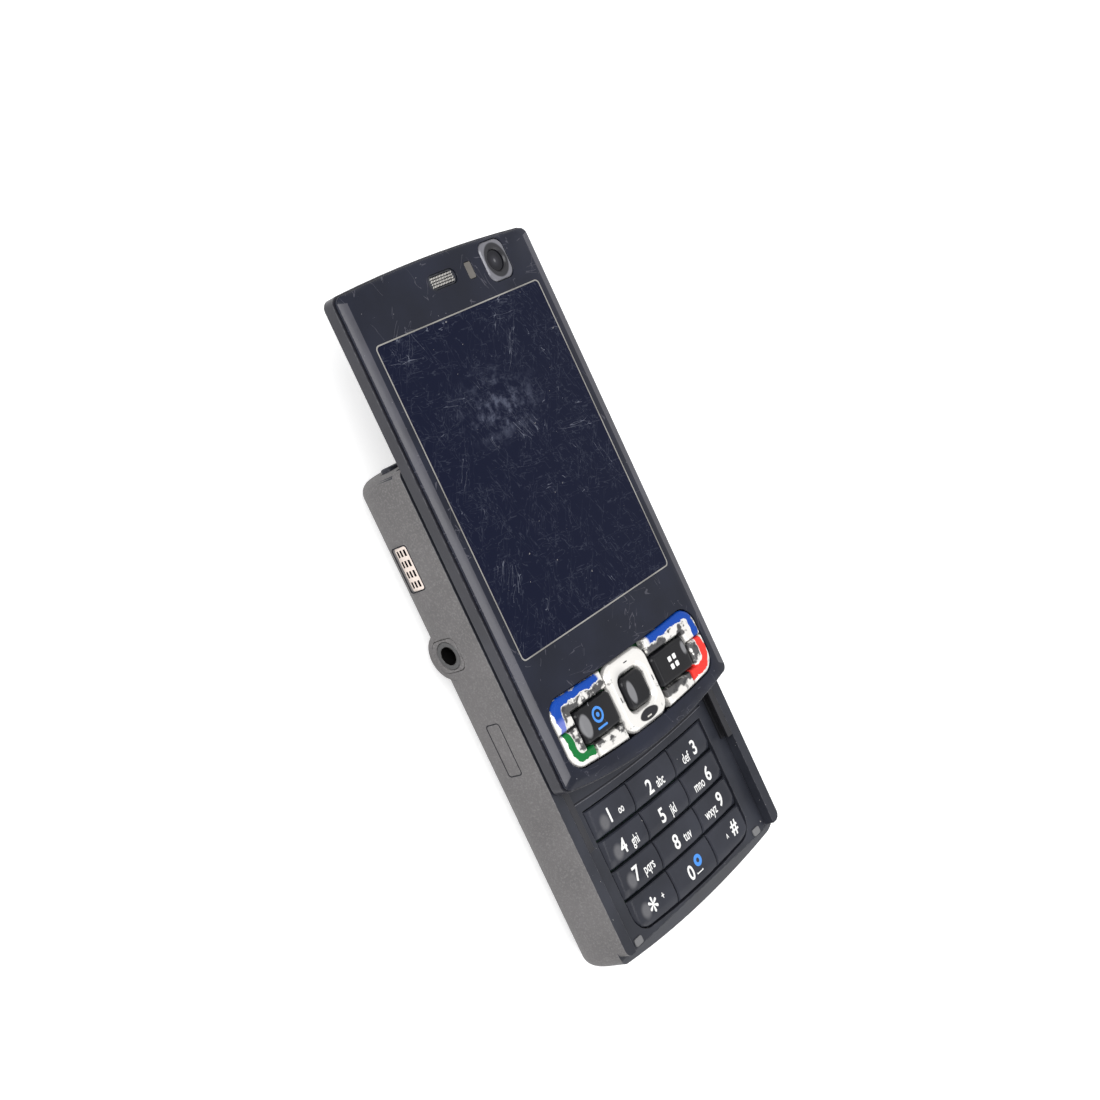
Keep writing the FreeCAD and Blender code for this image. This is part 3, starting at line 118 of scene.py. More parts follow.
def make_grain():
    """Fine moulded grain and slow patches of tone."""
    group, enter, leave = new_group("moulded_grain",
                                    [("Place", "Vector", None), ("Grains per metre", "Float", 4000.0)],
                                    [("Height", "Float"), ("Tone", "Float")])
    fine = noise(group, enter["Place"], enter["Grains per metre"], 2.0, Roughness=0.6)
    slow = noise(group, enter["Place"], 90.0, 5.0)
    group.links.new(fine, leave["Height"])
    group.links.new(ramp(group, slow, 0.3, 0.7), leave["Tone"])
    return group


def make_specks():
    """Sparse dust specks and lint."""
    group, enter, leave = new_group("dust_specks",
                                    [("Place", "Vector", None), ("Cells per metre", "Float", 700.0),
                                     ("Share", "Float", 0.3), ("Size", "Float", 0.09)],
                                    [("Mask", "Float")])
    warp = add(group, "ShaderNodeTexNoise", {"Vector": enter["Place"], "Scale": 2600.0, "Detail": 2.0})
    reach = 0.6 * MM
    bend = add(group, "ShaderNodeVectorMath", {0: warp.outputs["Color"], 1: (reach, reach, reach)},
               operation="MULTIPLY")
    moved = add(group, "ShaderNodeVectorMath", {0: enter["Place"], 1: bend.outputs[0]}, operation="ADD")
    cells = add(group, "ShaderNodeTexVoronoi", {"Vector": moved.outputs[0],
                                                "Scale": enter["Cells per metre"]})
    chance = add(group, "ShaderNodeSeparateColor", {0: cells.outputs["Color"]}).outputs
    kept = maths(group, "LESS_THAN", chance[0], enter["Share"])
    size = times(group, chance[1], enter["Size"])
    dot = maths(group, "LESS_THAN", cells.outputs["Distance"], size)
    group.links.new(times(group, dot, kept), leave["Mask"])
    return group


def make_scratches():
    """Hair-thin bent scratches in three directions, gathered in patches."""
    group, enter, leave = new_group("fine_scratches",
                                    [("Place", "Vector", None), ("Lines per metre", "Float", 800.0),
                                     ("Width", "Float", 0.006), ("Cover", "Float", 0.5)],
                                    [("Mask", "Float")])
    total = None
    for turn, shift in ((0.35, 0.0), (1.45, 0.011), (2.5, 0.023)):
        mapping = {"Vector": enter["Place"], "Location": (shift, shift * 2, 0.0),
                   "Rotation": (0.0, 0.0, turn), "Scale": (1.0, 5.0, 5.0)}
        place = add(group, "ShaderNodeMapping", mapping, vector_type="TEXTURE").outputs[0]
        field = noise(group, place, enter["Lines per metre"], 1.0, Distortion=0.4)
        away = maths(group, "ABSOLUTE", maths(group, "SUBTRACT", field, 0.5))
        line = maths(group, "LESS_THAN", away, enter["Width"])
        patch = noise(group, place, 420.0, 2.0)
        limit = maths(group, "SUBTRACT", 0.78, times(group, enter["Cover"], 0.3))
        shown = times(group, line, maths(group, "GREATER_THAN", patch, limit))
        total = shown if total is None else maths(group, "MAXIMUM", total, shown)
    group.links.new(total, leave["Mask"])
    return group


def make_edge_wear():
    """Where edges are rubbed: bevelled and plain normals differ there."""
    group, enter, leave = new_group("edge_wear", [("Place", "Vector", None), ("Radius", "Float", 0.3 * MM)],
                                    [("Mask", "Float")])
    rounded = add(group, "ShaderNodeBevel", {"Radius": enter["Radius"]}, samples=4).outputs[0]
    plain = add(group, "ShaderNodeNewGeometry").outputs["Normal"]
    alike = add(group, "ShaderNodeVectorMath", {0: rounded, 1: plain}, operation="DOT_PRODUCT")
    rub = noise(group, enter["Place"], 900.0, 4.0)
    edge = ramp(group, alike.outputs["Value"], 0.995, 0.8)
    group.links.new(times(group, edge, ramp(group, rub, 0.35, 0.65)), leave["Mask"])
    return group


GRAIN = make_grain()
SPECKS = make_specks()
SCRATCHES = make_scratches()
EDGE_WEAR = make_edge_wear()

# Materials


def start_material(name, colour, roughness, metallic=0.0, **constants):
    """A material, its tree, its shader and its place on the object."""
    material = bpy.data.materials.new(name)
    material.use_nodes = True
    tree = material.node_tree
    shader = tree.nodes["Principled BSDF"]
    shader.inputs["Base Color"].default_value = (*colour, 1.0)
    shader.inputs["Roughness"].default_value = roughness
    shader.inputs["Metallic"].default_value = metallic
    for key, value in constants.items():
        shader.inputs[key.replace("_", " ")].default_value = value
    place = add(tree, "ShaderNodeTexCoord").outputs["Object"]
    return material, tree, shader, place


def spot(tree, place, centre, radii, soft):
    """1 inside an ellipse, fading at its rim; a radius of 0 leaves that axis out."""
    away = add(tree, "ShaderNodeVectorMath", {0: place, 1: centre}, operation="SUBTRACT")
    scale = tuple(1 / radius if radius else 0.0 for radius in radii)
    scaled = add(tree, "ShaderNodeVectorMath", {0: away.outputs[0], 1: scale}, operation="MULTIPLY")
    reach = add(tree, "ShaderNodeVectorMath", {0: scaled.outputs[0]}, operation="LENGTH")
    return ramp(tree, reach.outputs["Value"], 1.0, 1.0 - soft)


def finish_surface(name, colour, roughness, metallic=0.0, *, edge, tone, grains=4000.0, grain_depth=0.0,
                   mottle=0.0, rub=None, dust=None, dust_share=0.0, dust_cells=900.0, scratch=None,
                   cover=0.4, spots=(), **constants):
    """A worn surface: base colour with patches, spots that some materials use for painted highlights and
    painted shade, rubbed edges, dust, scratches, grain and softened edges.
    """
    material, tree, shader, place = start_material(name, colour, roughness, metallic, **constants)
    grain = use_group(tree, GRAIN, {"Place": place, "Grains per metre": grains}).outputs
    dark = tuple(channel * (1 - tone) for channel in colour)
    light = tuple(min(channel * (1 + tone), 1.0) for channel in colour)
    shade = mix_colour(tree, grain["Tone"], dark, light)
    if mottle:
        pale = tuple(min(channel * 2.2, 1.0) for channel in colour)
        shade = mix_colour(tree, ramp(tree, grain["Height"], 0.45, 0.75, 0.0, mottle), shade, pale)
    for centre, radii, tint, soft in spots:
        shade = mix_colour(tree, spot(tree, place, centre, radii, soft), shade, tint)
    rough = ramp(tree, grain["Tone"], 0.0, 1.0, roughness * 0.88, min(roughness * 1.12, 1.0))
    height = times(tree, grain["Height"], grain_depth)
    if rub:
        wear = use_group(tree, EDGE_WEAR, {"Place": place, "Radius": 1.5 * edge}).outputs[0]
        shade = mix_colour(tree, times(tree, wear, 0.8), shade, rub)
    if scratch:
        lines = use_group(tree, SCRATCHES, {"Place": place, "Cover": cover, "Width": 0.012}).outputs[0]
        shade = mix_colour(tree, times(tree, lines, 0.7), shade, scratch)
        height = maths(tree, "SUBTRACT", height, times(tree, lines, 0.3 * grain_depth))
    if dust:
        specks = use_group(tree, SPECKS, {"Place": place, "Share": dust_share,
                                          "Cells per metre": dust_cells}).outputs[0]
        shade = mix_colour(tree, times(tree, specks, 0.85), shade, dust)
        rough = maths(tree, "MAXIMUM", rough, times(tree, specks, 0.9))
    soft = add(tree, "ShaderNodeBevel", {"Radius": edge}, samples=4).outputs[0]
    bump = add(tree, "ShaderNodeBump", {"Height": height, "Strength": 0.35, "Distance": MM, "Normal": soft})
    tree.links.new(shade, shader.inputs["Base Color"])
    tree.links.new(rough, shader.inputs["Roughness"])
    tree.links.new(bump.outputs[0], shader.inputs["Normal"])
    return material


DUST = (0.5, 0.48, 0.46)
DISPLAY_BLUE = (0.002, 0.004, 0.019)


def make_display_glass():
    """Dark blue window with hair scratches, specks and a smudge."""
    material, tree, shader, place = start_material("display_glass", DISPLAY_BLUE, 0.12,
                                                   Specular_IOR_Level=0.1)
    lines = use_group(tree, SCRATCHES, {"Place": place, "Cover": 0.38, "Lines per metre": 950.0,
                                        "Width": 0.01}).outputs[0]
    faint = use_group(tree, SCRATCHES, {"Place": place, "Cover": 0.9, "Lines per metre": 1500.0,
                                        "Width": 0.014}).outputs[0]
    specks = use_group(tree, SPECKS, {"Place": place, "Share": 0.16, "Size": 0.1}).outputs[0]
    low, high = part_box("display_window")
    smudge_at = (low[0] * 0.15 + high[0] * 0.1, low[1] * 0.3 + high[1] * 0.7, high[2])
    cloud = noise(tree, place, 420.0, 6.0, Roughness=0.65)
    patch = spot(tree, place, smudge_at, (15 * MM, 9 * MM, 0), 0.9)
    smudge = times(tree, patch, ramp(tree, cloud, 0.45, 0.7))
    shade = DISPLAY_BLUE
    for mask, share, tint in ((smudge, 0.35, (0.2, 0.22, 0.3)), (faint, 0.06, (0.3, 0.33, 0.42)),
                              (lines, 0.2, (0.42, 0.45, 0.55)), (specks, 0.5, DUST)):
        shade = mix_colour(tree, times(tree, mask, share), shade, tint)
    rough = maths(tree, "ADD", 0.1, times(tree, smudge, 0.4))
    tree.links.new(shade, shader.inputs["Base Color"])
    tree.links.new(rough, shader.inputs["Roughness"])
    return material


PLATED = 0.55
PLATE = (0.86, 0.84, 0.81)
WORN_PLATE = (0.035, 0.035, 0.04)
EDGE_PLATE = (0.16, 0.16, 0.165)
# How deep inside the key group's outline the painted band and the dark core fade in and out
BAND_START, BAND_END = (0.75 * MM, 0.85 * MM), (2.6 * MM, 2.45 * MM)
CORE_START, PAINTED_CORE_START = 1.1 * MM, 2.6 * MM
BAND_SIDES = (7.8 * MM, 8.6 * MM)       # how far from the middle the band sets in


def cluster_depth(tree, place, cut):
    """How far a point lies inside the rounded, bowed outline of the front key group."""
    low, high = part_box("soft_key_left"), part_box("soft_key_right")
    half = (high[1][0] - low[0][0]) / 2
    top = low[1][1] + 0.5 * MM
    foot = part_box("call_key")[0][1]
    middle, tall = (top + foot) / 2, (top - foot) / 2
    corner = 3.6 * MM
    side = maths(tree, "SUBTRACT", maths(tree, "ABSOLUTE", cut[0]), half - corner)
    bow = times(tree, times(tree, cut[0], cut[0]), KEY_BOW)
    level = maths(tree, "SUBTRACT", maths(tree, "SUBTRACT", cut[1], bow), middle)
    rise = maths(tree, "SUBTRACT", maths(tree, "ABSOLUTE", level), tall - corner)
    outside = add(tree, "ShaderNodeCombineXYZ", {0: maths(tree, "MAXIMUM", side, 0.0),
                                                 1: maths(tree, "MAXIMUM", rise, 0.0)})
    beyond = add(tree, "ShaderNodeVectorMath", {0: outside.outputs[0]}, operation="LENGTH").outputs["Value"]
    inner = maths(tree, "MINIMUM", maths(tree, "MAXIMUM", side, rise), 0.0)
    return maths(tree, "SUBTRACT", corner, maths(tree, "ADD", beyond, inner))


def make_chrome(name, paint=None, fade=None, spots=()):
    """Plated key with worn dark patches inside a bright rim, and at will a painted band along the rim."""
    material, tree, shader, place = start_material(name, PLATE, 0.12, PLATED, Specular_IOR_Level=0.15)
    stain = noise(tree, place, 330.0, 5.0, Roughness=0.6)
    rough = ramp(tree, stain, 0.3, 0.7, 0.07, 0.2)
    shade = mix_colour(tree, times(tree, ramp(tree, stain, 0.58, 0.64), 0.6), PLATE, WORN_PLATE)
    for centre, radii, tint, soft in spots:
        shade = mix_colour(tree, spot(tree, place, centre, radii, soft), shade, tint)
    if not spots:
        cut = add(tree, "ShaderNodeSeparateXYZ", {0: place}).outputs
        ragged = noise(tree, place, 480.0, 3.0)
        uneven = times(tree, maths(tree, "SUBTRACT", ragged, 0.5), 2.0 * MM)
        depth = maths(tree, "ADD", cluster_depth(tree, place, cut), uneven)
        start = PAINTED_CORE_START if paint else CORE_START
        core = times(tree, ramp(tree, depth, start, start + 0.3 * MM), ramp(tree, stain, 0.45, 0.52))
        shade = mix_colour(tree, times(tree, core, 0.92), shade, WORN_PLATE)
    wear = use_group(tree, EDGE_WEAR, {"Place": place, "Radius": 0.25 * MM}).outputs[0]
    shade = mix_colour(tree, times(tree, wear, 0.8), shade, EDGE_PLATE)
    if paint:
        band = times(tree, ramp(tree, depth, *BAND_START), ramp(tree, depth, *BAND_END))
        band = times(tree, band, ramp(tree, maths(tree, "ABSOLUTE", cut[0]), *BAND_SIDES))
        coat = paint
        if fade:
            coat = mix_colour(tree, ramp(tree, cut[1], fade[1], fade[2]), fade[0], paint)
        shade = mix_colour(tree, band, shade, coat)
        metal = times(tree, maths(tree, "SUBTRACT", 1.0, band), PLATED)
        rough = maths(tree, "ADD", rough, times(tree, band, 0.15))
        bump = add(tree, "ShaderNodeBump", {"Height": band, "Strength": 0.6, "Distance": 0.05 * MM})
        tree.links.new(bump.outputs[0], shader.inputs["Normal"])
        tree.links.new(metal, shader.inputs["Metallic"])
    tree.links.new(shade, shader.inputs["Base Color"])
    tree.links.new(rough, shader.inputs["Roughness"])
    return material


def middle_of(node):
    """The middle of a node's box."""
    low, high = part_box(node)
    return tuple((low[axis] + high[axis]) / 2 for axis in range(3))


FRONT_DUST = (0.2, 0.2, 0.22)
PAINTED_SHEEN = (0.2, 0.2, 0.21)
KEY_PAINTED_HIGHLIGHT = (0.12, 0.12, 0.13)
SOCKET_SHADE = (0.004, 0.004, 0.004)
BEZEL_DARK = (0.012, 0.012, 0.016)
LENS_AND_SHADE_TONE = (0.008, 0.008, 0.012)
BLUE_PAINT = (0.006, 0.06, 0.36)
FADED_BLUE = (0.16, 0.2, 0.55)

panel_y = middle_of("select_key")[1]
jack_at = (0, *middle_of("jack_bezel")[1:])
lens_at = middle_of("front_camera")
ring_low, ring_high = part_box("nav_ring")
ring_y = (ring_low[1] + ring_high[1]) / 2
soft_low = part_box("soft_key_left")[0][1]

SOFT_GREY = finish_surface("soft_grey", (0.118, 0.113, 0.114), 0.62, edge=0.35 * MM, tone=0.14,
                           grains=3000.0, grain_depth=0.16, mottle=0.4, rub=(0.26, 0.25, 0.25), dust=DUST,
                           dust_share=0.35, dust_cells=700.0, Specular_IOR_Level=0.35)
DECK_BLACK = finish_surface("deck_black", (0.026, 0.028, 0.037), 0.38, edge=0.15 * MM, tone=0.2,
                            grain_depth=0.02, rub=(0.12, 0.12, 0.13), dust=DUST, dust_share=0.1,
                            Specular_IOR_Level=0.2)
FRONT_BLACK = finish_surface("front_black", (0.009, 0.011, 0.022), 0.2, edge=0.3 * MM, tone=0.2,
                             dust=FRONT_DUST, dust_share=0.3, scratch=(0.07, 0.07, 0.09), cover=0.5,
                             Specular_IOR_Level=0.2)
# A lighter colour for the cover's long bevels: a painted highlight where they catch the light.
COVER_BEVEL_HIGHLIGHT = finish_surface("cover_bevel_painted_highlight", (0.045, 0.045, 0.06), 0.25, edge=0.2 * MM, tone=0.2,
                            dust=FRONT_DUST, dust_share=0.3)
TRAY_BLACK = finish_surface("tray_black", (0.03, 0.03, 0.038), 0.35, edge=0.2 * MM, tone=0.2,
                            grain_depth=0.01, rub=(0.15, 0.15, 0.16), dust=DUST, dust_share=0.15,
                            Specular_IOR_Level=0.3)
# The number keys' material paints a soft highlight as a lighter spot left of the digits in the left column,
# where the crowned keys reflect light.
NUMBER_BLACK = finish_surface("number_black", (0.026, 0.028, 0.038), 0.24, edge=0.08 * MM, tone=0.2,
                              grain_depth=0.004, rub=(0.12, 0.12, 0.13), dust=DUST, dust_share=0.06,
                              spots=[((-15.7 * MM, y * MM, 0), (1.7 * MM, 1.9 * MM, 0), KEY_PAINTED_HIGHLIGHT, 0.6)
                                     for y in (-24.3, -30.3, -36.1, -42.3)],
                              Specular_IOR_Level=0.2)
# The panel keys' material paints sheen as lighter patches: a painted reflection at the multimedia key's
# left end, on the select key and at the menu key's upper right.
PANEL_BLACK = finish_surface("panel_black", (0.01, 0.01, 0.012), 0.16, edge=0.1 * MM, tone=0.2,
                             scratch=(0.2, 0.2, 0.22), cover=0.3, Specular_IOR_Level=0.2,
                             spots=[((-16.0 * MM, panel_y, 0), (1.5 * MM, 2.5 * MM, 0), PAINTED_SHEEN, 0.25),
                                    ((-1.7 * MM, panel_y, 0), (1.1 * MM, 2.5 * MM, 0), PAINTED_SHEEN, 0.3),
                                    ((16.3 * MM, panel_y + MM, 0), (0.8 * MM, 1.6 * MM, 0), PAINTED_SHEEN, 0.5)])
STEEL = finish_surface("steel", (0.42, 0.42, 0.43), 0.35, 1.0, edge=0.1 * MM, tone=0.1, grain_depth=0.01)
DARK_STEEL = finish_surface("dark_steel", (0.03, 0.03, 0.035), 0.35, 0.6, edge=0.1 * MM, tone=0.15,
                            grain_depth=0.01)
# Grey of the camera bezels, also used as a painted highlight along the deck's groove.
BEZEL_GREY_AND_HIGHLIGHT = finish_surface("bezel_grey_and_highlight", (0.15, 0.15, 0.17), 0.3, 0.2, edge=0.15 * MM, tone=0.1,
                            spots=[(middle_of("front_camera_bezel"), (3.1 * MM, 3.5 * MM, 0),
                                    BEZEL_DARK, 0.1)])
# The jack's material paints its bore and the rim round it near black: painted shade inside the hole.
JACK_GREY = finish_surface("jack_grey", (0.05, 0.05, 0.052), 0.4, edge=0.1 * MM, tone=0.1,
                           grain_depth=0.01, rub=(0.3, 0.3, 0.3),
                           spots=[(jack_at, (0, 1.95 * MM, 1.95 * MM), SOCKET_SHADE, 0.1)])
GRILLE = finish_surface("grille_pink", (0.72, 0.62, 0.56), 0.4, 0.2, edge=0.08 * MM, tone=0.06,
                        grain_depth=0.01)
BOARD = finish_surface("board_green", (0.02, 0.1, 0.04), 0.4, edge=0.1 * MM, tone=0.2, grain_depth=0.02)
RUBBER = finish_surface("rubber_pad", (0.16, 0.16, 0.165), 0.7, edge=0.1 * MM, tone=0.1, grain_depth=0.03)
SENSOR = finish_surface("sensor_beige", (0.12, 0.11, 0.1), 0.35, edge=0.1 * MM, tone=0.2)
MESH_PALE = finish_surface("mesh_pale", (0.62, 0.6, 0.56), 0.35, 0.5, edge=0.05 * MM, tone=0.1)
WHITE_MARK = finish_surface("white_mark", (0.86, 0.86, 0.85), 0.5, edge=0.02 * MM, tone=0.04)
BLUE_MARK = finish_surface("blue_mark", (0.05, 0.25, 0.72), 0.4, edge=0.02 * MM, tone=0.1)
WINDOW_RIM = finish_surface("window_rim", (0.3, 0.29, 0.27), 0.3, 0.3, edge=0.03 * MM, tone=0.25)
# Black of the lenses, also used as painted shade in the grille's slots, the deck's groove and the gaps
# round the IR window and speaker grilles.
LENS_AND_SHADE_BLACK = finish_surface("lens_and_painted_shade_black", LENS_AND_SHADE_TONE, 0.06, edge=0.03 * MM, tone=0.1, Specular_IOR_Level=0.2)
# The front lens's material paints a soft glow and a small glint on the lens as lighter spots: a painted
# highlight.
FRONT_LENS = finish_surface("front_lens", LENS_AND_SHADE_TONE, 0.06, edge=0.03 * MM, tone=0.1,
                            spots=[(lens_at, (1.5 * MM, 1.5 * MM, 0), (0.03, 0.03, 0.038), 0.9),
                                   (lens_at, (0.35 * MM, 0.5 * MM, 0), (0.16, 0.16, 0.17), 0.8)],
                            Specular_IOR_Level=0.2)
GLASS = make_display_glass()
CHROME = make_chrome("chrome")
# The ring's first spot paints grey shade over its upper left.
RING_CHROME = make_chrome("ring_chrome",
                          spots=[((-2.6 * MM, ring_y + 1.8 * MM, 0), (3.4 * MM, 4.2 * MM, 0),
                                  (0.36, 0.36, 0.37), 0.9),
                                 ((0.2 * MM, ring_low[1] + 1.9 * MM, 0), (3.0 * MM, 1.15 * MM, 0),
                                  WORN_PLATE, 0.15)])
BLUE_PLATE = make_chrome("blue_painted", BLUE_PAINT)
WORN_BLUE_PLATE = make_chrome("worn_blue_painted", BLUE_PAINT,
                              (FADED_BLUE, soft_low + 1.6 * MM, soft_low + 3.0 * MM))
GREEN_PLATE = make_chrome("green_painted", (0.006, 0.16, 0.035))
RED_PLATE = make_chrome("red_painted", (0.88, 0.045, 0.035))

# Mesh helpers

MERGE = 1e-6            # metres between points that are one
TOP_ZONE = 0.6 * MM     # points this near a key's top move with it


def body_of(node):
    """The body that a CAD node belongs to."""
    for name, nodes in frame["record"]["behaviour"]["bodies"].items():
        if node in nodes:
            return name
    raise KeyError(node)


def solid_copy(node, join_flats=True):
    """A merged copy of a CAD node's mesh, open for editing."""
    mesh = bmesh.new()
    mesh.from_mesh(frame["nodes"][node].data)
    bmesh.ops.remove_doubles(mesh, verts=mesh.verts, dist=MERGE)
    if join_flats:
        bmesh.ops.dissolve_limit(mesh, angle_limit=0.004, verts=mesh.verts, edges=mesh.edges,
                                 delimit={"NORMAL"})
    return mesh


def piece_from(mesh, name, material, body, replaced=(), smooth=35):
    """Turns an edited mesh into a finished piece that rides on its body."""
    data = bpy.data.meshes.new(name)
    mesh.to_mesh(data)
    mesh.free()
    for layer in ("custom_normal", "sharp_edge", "sharp_face"):
        if layer in data.attributes:
            data.attributes.remove(data.attributes[layer])
    for polygon in data.polygons:
        polygon.use_smooth = True
    data.set_sharp_from_angle(angle=math.radians(smooth))
    data.materials.append(material)
    piece = bpy.data.objects.new(name, data)
    bpy.context.scene.collection.objects.link(piece)
    piece.modifiers.new("even_normals", "WEIGHTED_NORMAL").keep_sharp = True
    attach(piece, body)
    if replaced:
        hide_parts(*replaced)
    return piece


def in_place_of(node, mesh, ending, material, smooth=35):
    """A finished piece that takes a CAD node's body and place."""
    return piece_from(mesh, node + ending, material, body_of(node), [node], smooth)


def dress(node, material, second=None, belongs=None):
    """The CAD node's own form with merged corners and a finish, or two: belongs picks the second's."""
    piece = in_place_of(node, solid_copy(node, False), "_finish", material)
    if second:
        piece.data.materials.append(second)
        for polygon in piece.data.polygons:
            if belongs(polygon):
                polygon.material_index = 1


def lift_top(mesh, level, steps, drop):
    """Lowers the top face by drop, then raises it again in inset steps, which makes a pillow."""
    for vertex in mesh.verts:
        if vertex.co.z > level - TOP_ZONE:
            vertex.co.z -= drop
    for width, rise in steps:
        top = [face for face in mesh.faces if face.normal.z > 0.95
               and face.calc_center_median().z > max(v.co.z for v in mesh.verts) - 0.02 * MM]
        bmesh.ops.inset_region(mesh, faces=top, thickness=width, depth=rise, use_even_offset=True)
        mesh.normal_update()


PILLOW = ((0.12 * MM, 0.12 * MM), (0.2 * MM, 0.1 * MM), (0.3 * MM, 0.05 * MM))     # inset, rise
PILLOW_RISE = sum(rise for _, rise in PILLOW)
PILLOW_SPARE = 0.02 * MM    # keeps the crown under the solid's top


def front_cap(node, material):
    """A softly crowned cap of the front keys."""
    mesh = solid_copy(node)
    lift_top(mesh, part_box(node)[1][2], PILLOW, PILLOW_RISE + PILLOW_SPARE)
    bmesh.ops.triangulate(mesh, faces=mesh.faces)
    in_place_of(node, mesh, "_cap", material, 50)


def slice_mesh(mesh, axis, places):
    """Cuts a mesh into strips along an axis."""
    normal = Vector((0, 0, 0))
    normal[axis] = 1
    for place in places:
        bmesh.ops.bisect_plane(mesh, geom=mesh.verts[:] + mesh.edges[:] + mesh.faces[:],
                               plane_co=normal * place, plane_no=normal, dist=1e-7)


ROLL = 2.0 * MM             # a number key's lower strip that rolls down
ROLL_DROP = 0.5
SIDE_BEVEL = 0.95 * MM      # the outer columns' bevel at the pad's side
BEVEL_DROP = 0.45
CUTS = 6


def number_cap(node, column):
    """A number key: flat upper part, lower strip rolled down, outer columns bevelled at the pad's side."""
    mesh = solid_copy(node)
    low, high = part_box(node)
    floor = high[2] - TOP_ZONE
    foot = min(v.co.y - KEY_BOW * v.co.x ** 2 for v in mesh.verts if v.co.z > floor)
    shift = KEY_BOW * ((low[0] + high[0]) / 2) ** 2
    slice_mesh(mesh, 1, [foot + ROLL * (i + 1) / CUTS + shift for i in range(CUTS)])
    slice_mesh(mesh, 0, [low[0] + (high[0] - low[0]) * i / CUTS for i in range(1, CUTS)])
    if column == 0:
        slice_mesh(mesh, 0, [low[0] + SIDE_BEVEL])
    if column == 2:
        slice_mesh(mesh, 0, [high[0] - SIDE_BEVEL])
    bmesh.ops.triangulate(mesh, faces=mesh.faces)
    for vertex in mesh.verts:
        if vertex.co.z < floor:
            continue
        along = (vertex.co.y - KEY_BOW * vertex.co.x ** 2 - foot) / ROLL
        drop = ROLL_DROP * max(0.0, 1 - along) ** 2
        if column == 0:
            drop += BEVEL_DROP * max(0.0, 1 - (vertex.co.x - low[0]) / SIDE_BEVEL)
        if column == 2:
            drop += BEVEL_DROP * max(0.0, 1 - (high[0] - vertex.co.x) / SIDE_BEVEL)
        vertex.co.z -= drop * MM
    in_place_of(node, mesh, "_cap", NUMBER_BLACK, 40)


def settled(holder, matrix):
    """The final mesh of a helper object, in its place and open for editing; the helper goes."""
    bpy.context.view_layer.update()
    data = bpy.data.meshes.new_from_object(holder.evaluated_get(bpy.context.evaluated_depsgraph_get()))
    bpy.data.objects.remove(holder)
    data.transform(matrix)
    mesh = bmesh.new()
    mesh.from_mesh(data)
    bpy.data.meshes.remove(data)
    return mesh


CAPITAL_SHARE = 0.7         # a capital's height over the font's size


def write(name, text, height, squeeze, x, y, level, body, bold):
    """Flat white lettering, printed a hair above a surface, centred at x, y."""
    curve = bpy.data.curves.new(name, "FONT")
    curve.body = text
    curve.align_x = "CENTER"
    curve.align_y = "CENTER"
    curve.size = height / CAPITAL_SHARE
    curve.offset = bold
    curve.extrude = 0.008 * MM
    holder = bpy.data.objects.new(name, curve)
    bpy.context.scene.collection.objects.link(holder)
    mesh = settled(holder, Matrix.Translation((x, y, level)) @ Matrix.Diagonal((squeeze, 1, 1, 1)))
    bmesh.ops.remove_doubles(mesh, verts=mesh.verts, dist=1e-7)
    piece_from(mesh, name, WHITE_MARK, body)


ON_TOP = Matrix.Identity(4)
ON_LEFT_WALL = Matrix(((0, 0, 1, 0), (1, 0, 0, 0), (0, 1, 0, 0), (0, 0, 0, 1)))


def plate(name, outline, low, high, material, body, holes=(), place=ON_TOP):
    """A flat plate between two levels from an outline of points."""
    mesh = bmesh.new()
    loops = []
    for points in (outline, *holes):
        ring = [mesh.verts.new((x, y, low)) for x, y in points]
        loops.append([mesh.edges.new((ring[i], ring[(i + 1) % len(ring)])) for i in range(len(ring))])
    edges = [edge for loop in loops for edge in loop]
    bmesh.ops.triangle_fill(mesh, use_beauty=True, use_dissolve=False, edges=edges)
    result = bmesh.ops.extrude_face_region(mesh, geom=mesh.faces[:])
    bmesh.ops.translate(mesh, verts=[v for v in result["geom"] if isinstance(v, bmesh.types.BMVert)],
                        vec=(0, 0, high - low))
    bmesh.ops.transform(mesh, matrix=place, verts=mesh.verts)
    bmesh.ops.recalc_face_normals(mesh, faces=mesh.faces)
    piece_from(mesh, name, material, body)


def stamp(name, outline, level, material, body, holes=()):
    """A printed mark whose top is at a level."""
    plate(name, outline, level - PRINT_THICK, level, material, body, holes)


